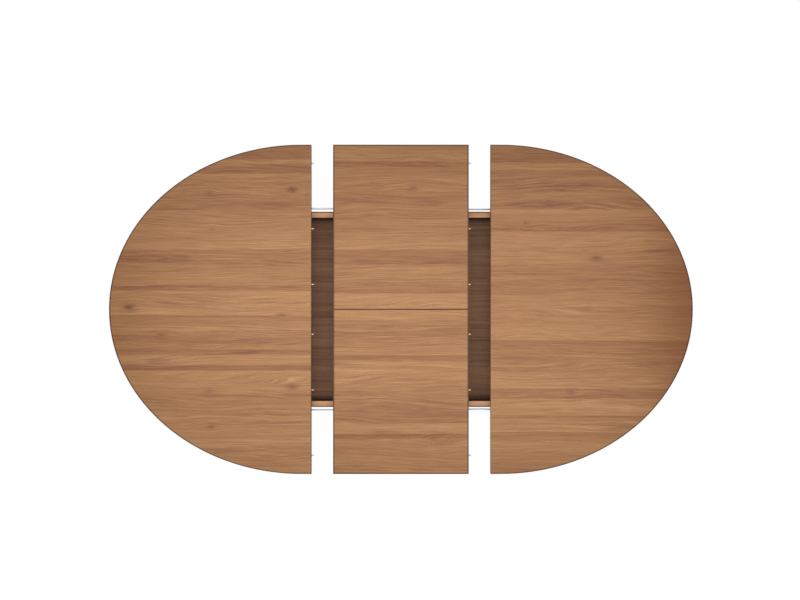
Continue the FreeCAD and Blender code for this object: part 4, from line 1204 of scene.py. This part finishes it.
@dataclass
class LocatingPegs:
    """Turned brass pegs in the mating edges."""

    radius: float = 0.0030
    reach: float = 0.0100  # Length that stands out of the edge.
    seat: float = 0.0200  # Length in the board.
    ease: float = 0.0005  # Ease of the end in the board.
    nose: float = 0.0088
    blunt: float = 1.3  # How blunt the nose is, where 1 is an ellipse.
    steps: int = 6
    neck: float = 0.0001  # Depth of the groove at the edge.
    # Places of the groove's start, the two ends of its floor, and its end.
    groove: tuple[float, float, float, float] = (-0.0006, -0.0003, 0.0003, 0.0008)
    sides: int = 28

    def shape(self) -> Mesh:
        """Model one peg with its shoulder at z = 0.

        Returns:
            Its mesh.
        """
        start, floor_start, floor_end, end = self.groove
        profile: Profile = [(0.0, -self.seat), (self.radius - self.ease, -self.seat),
                            (self.radius, -self.seat + self.ease), (self.radius, start),
                            (self.radius - self.neck, floor_start), (self.radius - self.neck, floor_end),
                            (self.radius, end)]
        for step in range(self.steps):
            turn = math.pi / 2 * step / self.steps
            profile.append((self.radius * math.cos(turn) ** self.blunt,
                            self.reach - self.nose + self.nose * math.sin(turn)))
        profile.append((0.0, self.reach))
        return as_mesh(turned(profile, self.sides), "brass_peg")

    def build(self, hardware: Hardware) -> None:
        """Set the pegs of each body.

        Args:
            hardware: The tree that sets them.
        """
        item = placed("peg_fitting", self.shape())
        for body in ("left_half", "leaf_rear", "leaf_front"):
            node = body + "_pegs"
            spots = [(Vector((solid.high.x - self.reach, solid.middle.y, solid.middle.z)),
                      Vector((1.0, 0.0, 0.0))) for solid in solids(node)]
            mesh = hardware.place(node + "_turned", item, spots, BRASS, 0, 0.0)
            piece(node + "_turned", mesh, BRASS, body, "brass", (node,))
        scrap(item)


@dataclass
class Tops(Assembly):
    """The half tops and the two panels of the leaf."""

    arris: float = 0.0013  # Rounding of the boards' edges.
    steps: int = 3

    def build(self) -> None:
        """Round the boards' edges and dress them."""
        for node, finish, body in (("left_half_top", LEFT_VENEER, "left_half"),
                                   ("right_half_top", RIGHT_VENEER, "right_half"),
                                   ("leaf_rear_panel", LEAF_VENEER, "leaf_rear"),
                                   ("leaf_front_panel", LEAF_VENEER, "leaf_front")):
            ease(node, finish, body, "walnut_veneer", self.arris, self.steps, rim_only=True)


@dataclass
class BoxFrame(Assembly):
    """The rails, tray floor, legs and pads."""

    rail_ease: float = 0.0012
    leg_ease: float = 0.0045
    leg_steps: int = 4
    glide_radius: float = 0.0130
    glide_height: float = 0.0080
    # Outline of a glide, as shares of its radius and height.
    glide_form: Shares = ((0.0, 0.0), (0.62, 0.0), (0.84, 0.06), (0.96, 0.24), (1.0, 0.5), (1.0, 0.86),
                          (0.97, 1.0), (0.0, 1.0))
    glide_sides: int = 40

    def rails(self) -> None:
        """Round the rails' edges and dress the tray floor."""
        for side in ("front_side_rail", "rear_side_rail"):
            ease(side, RAIL_WOOD, "base_frame", "light_walnut", self.rail_ease)
        for end in ("left_end_rail", "right_end_rail"):
            ease(end, END_RAIL_WOOD, "base_frame", "light_walnut", self.rail_ease)
        dress(TRAY_WOOD, "tray_floor")

    def legs(self) -> None:
        """Round the legs' edges and turn their glides."""
        for corner in ("front_left", "front_right", "rear_left", "rear_right"):
            ease(corner + "_leg", LEG_WOOD, "base_frame", "light_walnut", self.leg_ease, self.leg_steps)
            glide = corner + "_glide"
            low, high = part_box(glide)
            dish = turned(sized(self.glide_form, self.glide_radius, self.glide_height), self.glide_sides)
            shift = Vector(((low.x + high.x) / 2, (low.y + high.y) / 2, low.z))
            bmesh.ops.translate(dish, verts=dish.verts, vec=shift)
            piece(glide + "_turned", as_mesh(dish, glide), NYLON, "base_frame", "nylon", (glide,))

    def build(self) -> None:
        """Build the frame's pieces."""
        self.rails()
        self.legs()
        dress(NYLON, "leaf_rest_pads", "half_glide_pads")
        dress(RUBBER, "storage_buffers")


@dataclass
class CornerBraces(Assembly):
    """The corner braces with their hanger bolts, and all screws of the frame."""

    wall: float = 0.003
    tab: float = 0.020  # Length of a brace's tab on a rail.
    tab_gap: float = 0.030  # Height between the two screws of a tab.
    bolt_end: float = 0.0030  # Radius of a bolt's ends.
    bolt_root: float = 0.0034  # Radius between a bolt's threads.
    bolt_crest: float = 0.0040  # Radius over a bolt's threads.
    pitch: float = 0.00125
    threads: int = 44
    bolt_sides: int = 20
    nut_radius: float = 0.0075  # Radius over a nut's corners.
    nut_ease: float = 0.0006  # Ease of a nut's ends, and a bolt's length before its first thread.
    washer_radius: float = 0.0078
    washer_back: float = 0.0012  # Distance of the washer's far face from the nut.
    washer_face: float = 0.0002  # Distance of the washer's near face from the nut.
    washer_sides: int = 32
    tallest_stud: float = 0.010  # Any taller solid among the bolts and nuts is a nut.

    def bolt(self, stud: Solid, nut: Solid) -> BMesh:
        """Model one hanger bolt with its nut and washer, in place.

        Args:
            stud: The bolt's solid.
            nut: The nut's solid.

        Returns:
            The three in one shape.
        """
        inward = Vector((nut.middle.x - stud.middle.x, nut.middle.y - stud.middle.y, 0.0)).normalized()
        half = max((corner - stud.middle).dot(inward) for corner in stud.corners)
        reach = [(corner - stud.middle).dot(inward) for corner in nut.corners]
        near, far = min(reach), max(reach)
        thread: Profile = [(0.0, -half), (self.bolt_end, -half)]
        for turn in range(self.threads):
            base = -half + self.nut_ease + turn * 2 * half / (self.threads + 1)
            thread += [(self.bolt_root, base), (self.bolt_crest, base + self.pitch / 2)]
        thread += [(self.bolt_end, half), (0.0, half)]
        flat = self.nut_radius - self.nut_ease
        prism = [(0.0, near), (flat, near), (self.nut_radius, near + self.nut_ease),
                 (self.nut_radius, far - self.nut_ease), (flat, far), (0.0, far)]
        back, face = near - self.washer_back, near - self.washer_face
        washer = [(0.0, back), (self.washer_radius, back), (self.washer_radius, face), (0.0, face)]
        shape = joined([turned(thread, self.bolt_sides), turned(prism, 6),
                        turned(washer, self.washer_sides)])
        turn = (-DOWN).rotation_difference(inward).to_matrix().to_4x4()
        shape.transform(Matrix.Translation(stud.middle) @ turn)
        return shape

    def bolts(self) -> None:
        """Make the hanger bolts and nuts."""
        found = solids("brace_bolts")
        nuts = [solid for solid in found if solid.height >= self.tallest_stud]
        shapes = [self.bolt(stud, min(nuts, key=lambda nut: (nut.middle - stud.middle).length))
                  for stud in found if stud.height < self.tallest_stud]
        piece("hanger_bolts", as_mesh(joined(shapes), "hanger_bolts", 25.0), ZINC, "base_frame",
              "zinc_steel", ("brace_bolts",))

    def tab_screws(self) -> None:
        """Screw both tabs of each corner brace to the rails."""
        for brace in solids("corner_braces"):
            middle = brace.middle
            inward_x, inward_y = towards_middle(middle.x), towards_middle(middle.y)
            half_x, half_y = (brace.high.x - brace.low.x) / 2, (brace.high.y - brace.low.y) / 2
            for height in (middle.z - self.tab_gap / 2, middle.z + self.tab_gap / 2):
                side = (middle.x + inward_x * (half_x - self.tab / 2),
                        middle.y - inward_y * (half_y - self.wall), height)
                end = (middle.x - inward_x * (half_x - self.wall),
                       middle.y + inward_y * (half_y - self.tab / 2), height)
                self.screws.add("base_frame", side, Vector((0.0, inward_y, 0.0)))
                self.screws.add("base_frame", end, Vector((inward_x, 0.0, 0.0)))

    def build(self) -> None:
        """Build the braces' pieces, and screw the buffers to the tray floor from below."""
        dress(ZINC, "corner_braces")
        self.bolts()
        self.tab_screws()
        for buffer in solids("storage_buffers"):
            self.screws.add("base_frame", (buffer.middle.x, buffer.middle.y, TRAY_LOW.z), DOWN)
        self.screws.take_over("base_frame", "frame_screws")


@dataclass
class Slides(Assembly):
    """The steel runners of the half tops, their nylon guides and their cleats."""

    cleat_ease: float = 0.0020
    runner_ease: float = 0.0005
    cleat_screws: int = 4
    cleat_inset: float = 0.060  # The outermost screws in from a cleat's ends.
    runner_screws: int = 3  # Screws that hold a runner to its cleat, clear of the guides.
    runner_inset: float = 0.022  # The outermost screw in from the runner's outer end.
    runner_pitch: float = 0.070  # Distance between a runner's screws.

    def fasten(self, body: str, cleat: str, runner: str) -> None:
        """Screw a cleat up into its half top, and a runner to the cleat's inner face.

        Args:
            body: The half that both ride on.
            cleat: The cleat's node.
            runner: The runner's node.
        """
        low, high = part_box(cleat)
        for place in spread(low.x + self.cleat_inset, high.x - self.cleat_inset, self.cleat_screws):
            self.screws.add(body, (place, (low.y + high.y) / 2, low.z), DOWN)
        low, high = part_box(runner)
        middle = (low + high) / 2
        inward_x, inward_y = towards_middle(middle.x), towards_middle(middle.y)
        outer = middle.x - inward_x * ((high.x - low.x) / 2 - self.runner_inset)
        face = middle.y + inward_y * (high.y - low.y) / 2
        for step in range(self.runner_screws):
            spot = (outer + inward_x * step * self.runner_pitch, face, middle.z)
            self.screws.add(body, spot, Vector((0.0, inward_y, 0.0)))

    def build(self) -> None:
        """Build the slides' pieces."""
        dress(NYLON, "front_runner_guides", "rear_runner_guides")
        for body in ("left_half", "right_half"):
            for edge in ("front", "rear"):
                cleat, runner = (body.replace("half", f"{edge}_{part}") for part in ("cleat", "runner"))
                ease(cleat, CLEAT_WOOD, body, "light_walnut", self.cleat_ease)
                ease(runner, ZINC, body, "zinc_steel", self.runner_ease)
                self.fasten(body, cleat, runner)
            self.screws.take_over(body, body + "_screws")


@dataclass
class LeafCarrier(Assembly):
    """The swing arms, their brackets, shafts and pins, and the lugs under the leaf."""

    def build(self) -> None:
        """Dress the carrier and set its screws."""
        for edge in ("front", "rear"):
            dress(POWDER_COAT, f"{edge}_left_arm", f"{edge}_right_arm")
            dress(ZINC, f"{edge}_arm_shaft", f"{edge}_arm_pins")
        dress(POWDER_COAT, "arm_brackets", "leaf_lugs")
        self.screws.take_over("leaf_rear", "lug_screws")


@dataclass
class SeamHinges(Assembly):
    """The concealed hinges of the leaf's seam."""

    def build(self) -> None:
        """Dress the hinges."""
        dress(BRASS, "leaf_hinge_rear", "leaf_hinge_front")
        dress(BLACKED, "leaf_hinge_links")


@dataclass
class Equaliser(Assembly):
    """The racks and pinion that move both halves together."""

    flange: float = 0.005  # Thickness of the axle's flange under the tray floor.
    flange_inset: float = 0.007  # The flange's screws in from its edges.

    def build(self) -> None:
        """Dress the equaliser and screw its axle's flange to the tray floor."""
        low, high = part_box("pinion_axle")
        for along in (low.x + self.flange_inset, high.x - self.flange_inset):
            for across in (low.y + self.flange_inset, high.y - self.flange_inset):
                self.screws.add("base_frame", (along, across, TRAY_LOW.z - self.flange), DOWN)
        dress(ZINC, "left_rack", "right_rack", "left_rack_bracket", "right_rack_bracket",
              "equaliser_pinion", "pinion_axle")
        dress(NYLON, "rack_guides")


@dataclass
class Studio:
    """The floor, the lamp, the world and the camera."""

    table_top: float = 0.75
    camera_rise: float = 4.006  # Camera above the top.
    lens: float = 49.5
    sensor: float = 36.0
    shift: tuple[float, float] = (-0.9 / 800, 9.33 / 800)  # Lens shift, as shares of the picture's width.
    lamp_rise: float = 0.5  # Lamp above the top.
    lamp_size: tuple[float, float] = (2.0, 1.25)
    lamp_place: tuple[float, float] = (-0.03, -0.04)  # Lamp's middle, along and across the table.
    lamp_level: float = 0.58  # Light that the lamp alone gives the middle of the top, as a share of white.
    sky: float = 0.5
    floor_half: float = 12.0
    floor_paint: float = 0.9  # Grey of the floor where it throws light back on the table.
    floor_glow: float = 1.10  # Brightness of the floor as it is seen.
    glow_share: float = 0.86  # How much of what is seen of the floor is that glow.

    def camera(self) -> None:
        """Set the camera straight above the table."""
        data = bpy.data.cameras.new("camera")
        data.lens, data.sensor_width = self.lens, self.sensor
        data.shift_x, data.shift_y = self.shift
        eye = placed("camera", data)
        eye.location = (0.0, 0.0, self.table_top + self.camera_rise)
        bpy.context.scene.camera = eye

    def world(self) -> None:
        """Light the table evenly, on a white ground."""
        world = bpy.data.worlds.new("studio")
        bpy.context.scene.world = world
        world.use_nodes = True
        board = NodeBoard(world.node_tree, "ShaderNodeOutputWorld")
        lit, ground = (board.add("ShaderNodeBackground", {"Color": grey(1.0), "Strength": strength})
                       for strength in (self.sky, 1.0))
        board.show(board.seen(), lit, ground)

    def lamp_power(self) -> float:
        """Work out the lamp's power from the light that it gives below its middle.

        Returns:
            The power in watts.
        """
        half_long, half_wide = (size / 2 for size in self.lamp_size)
        cover = 0.0
        for near, far in ((half_long, half_wide), (half_wide, half_long)):
            slant = math.hypot(near, self.lamp_rise)
            cover += near / slant * math.atan(far / slant)
        return self.lamp_level / (cover * 2 / math.pi) * math.pi * self.lamp_size[0] * self.lamp_size[1]

    def lamp(self) -> None:
        """Hang one wide soft lamp above the table."""
        data = bpy.data.lights.new("soft_lamp", "AREA")
        data.shape = "RECTANGLE"
        data.size, data.size_y = self.lamp_size
        data.energy = self.lamp_power()
        lamp = placed("soft_lamp", data)
        lamp.location = (*self.lamp_place, self.table_top + self.lamp_rise)
        lamp.visible_camera = False

    def floor(self) -> None:
        """Lay a pale floor that keeps the table's shadow."""
        shape = bmesh.new()
        bmesh.ops.create_grid(shape, x_segments=1, y_segments=1, size=self.floor_half)
        floor = placed("floor", as_mesh(shape, "floor"))
        board = FinishBoard("pale_floor")
        paint = board.add("ShaderNodeBsdfDiffuse", {"Color": grey(self.floor_paint)})
        glow = board.add("ShaderNodeEmission", {"Strength": self.floor_glow})
        board.show(board.seen() * self.glow_share, paint, glow)
        floor.data.materials.append(board.material)

    def build(self) -> None:
        """Set up the studio."""
        bpy.context.scene.view_settings.view_transform = "Standard"
        self.camera()
        self.world()
        self.lamp()
        self.floor()


def main() -> None:
    """Build the table's looks, sub-assembly by sub-assembly."""
    logging.basicConfig(level=logging.INFO, format="%(message)s")
    hardware, screws = Hardware(), WoodScrews()
    Studio().build()
    for assembly in (Tops, SeamHinges, BoxFrame, CornerBraces, Slides, LeafCarrier, Equaliser):
        assembly(screws).build()
        LOG.info("%s built", assembly.__name__)
    for fittings in (LocatingPegs(), screws):
        fittings.build(hardware)
        LOG.info("%s built", type(fittings).__name__)


if __name__ == "__main__":
    main()
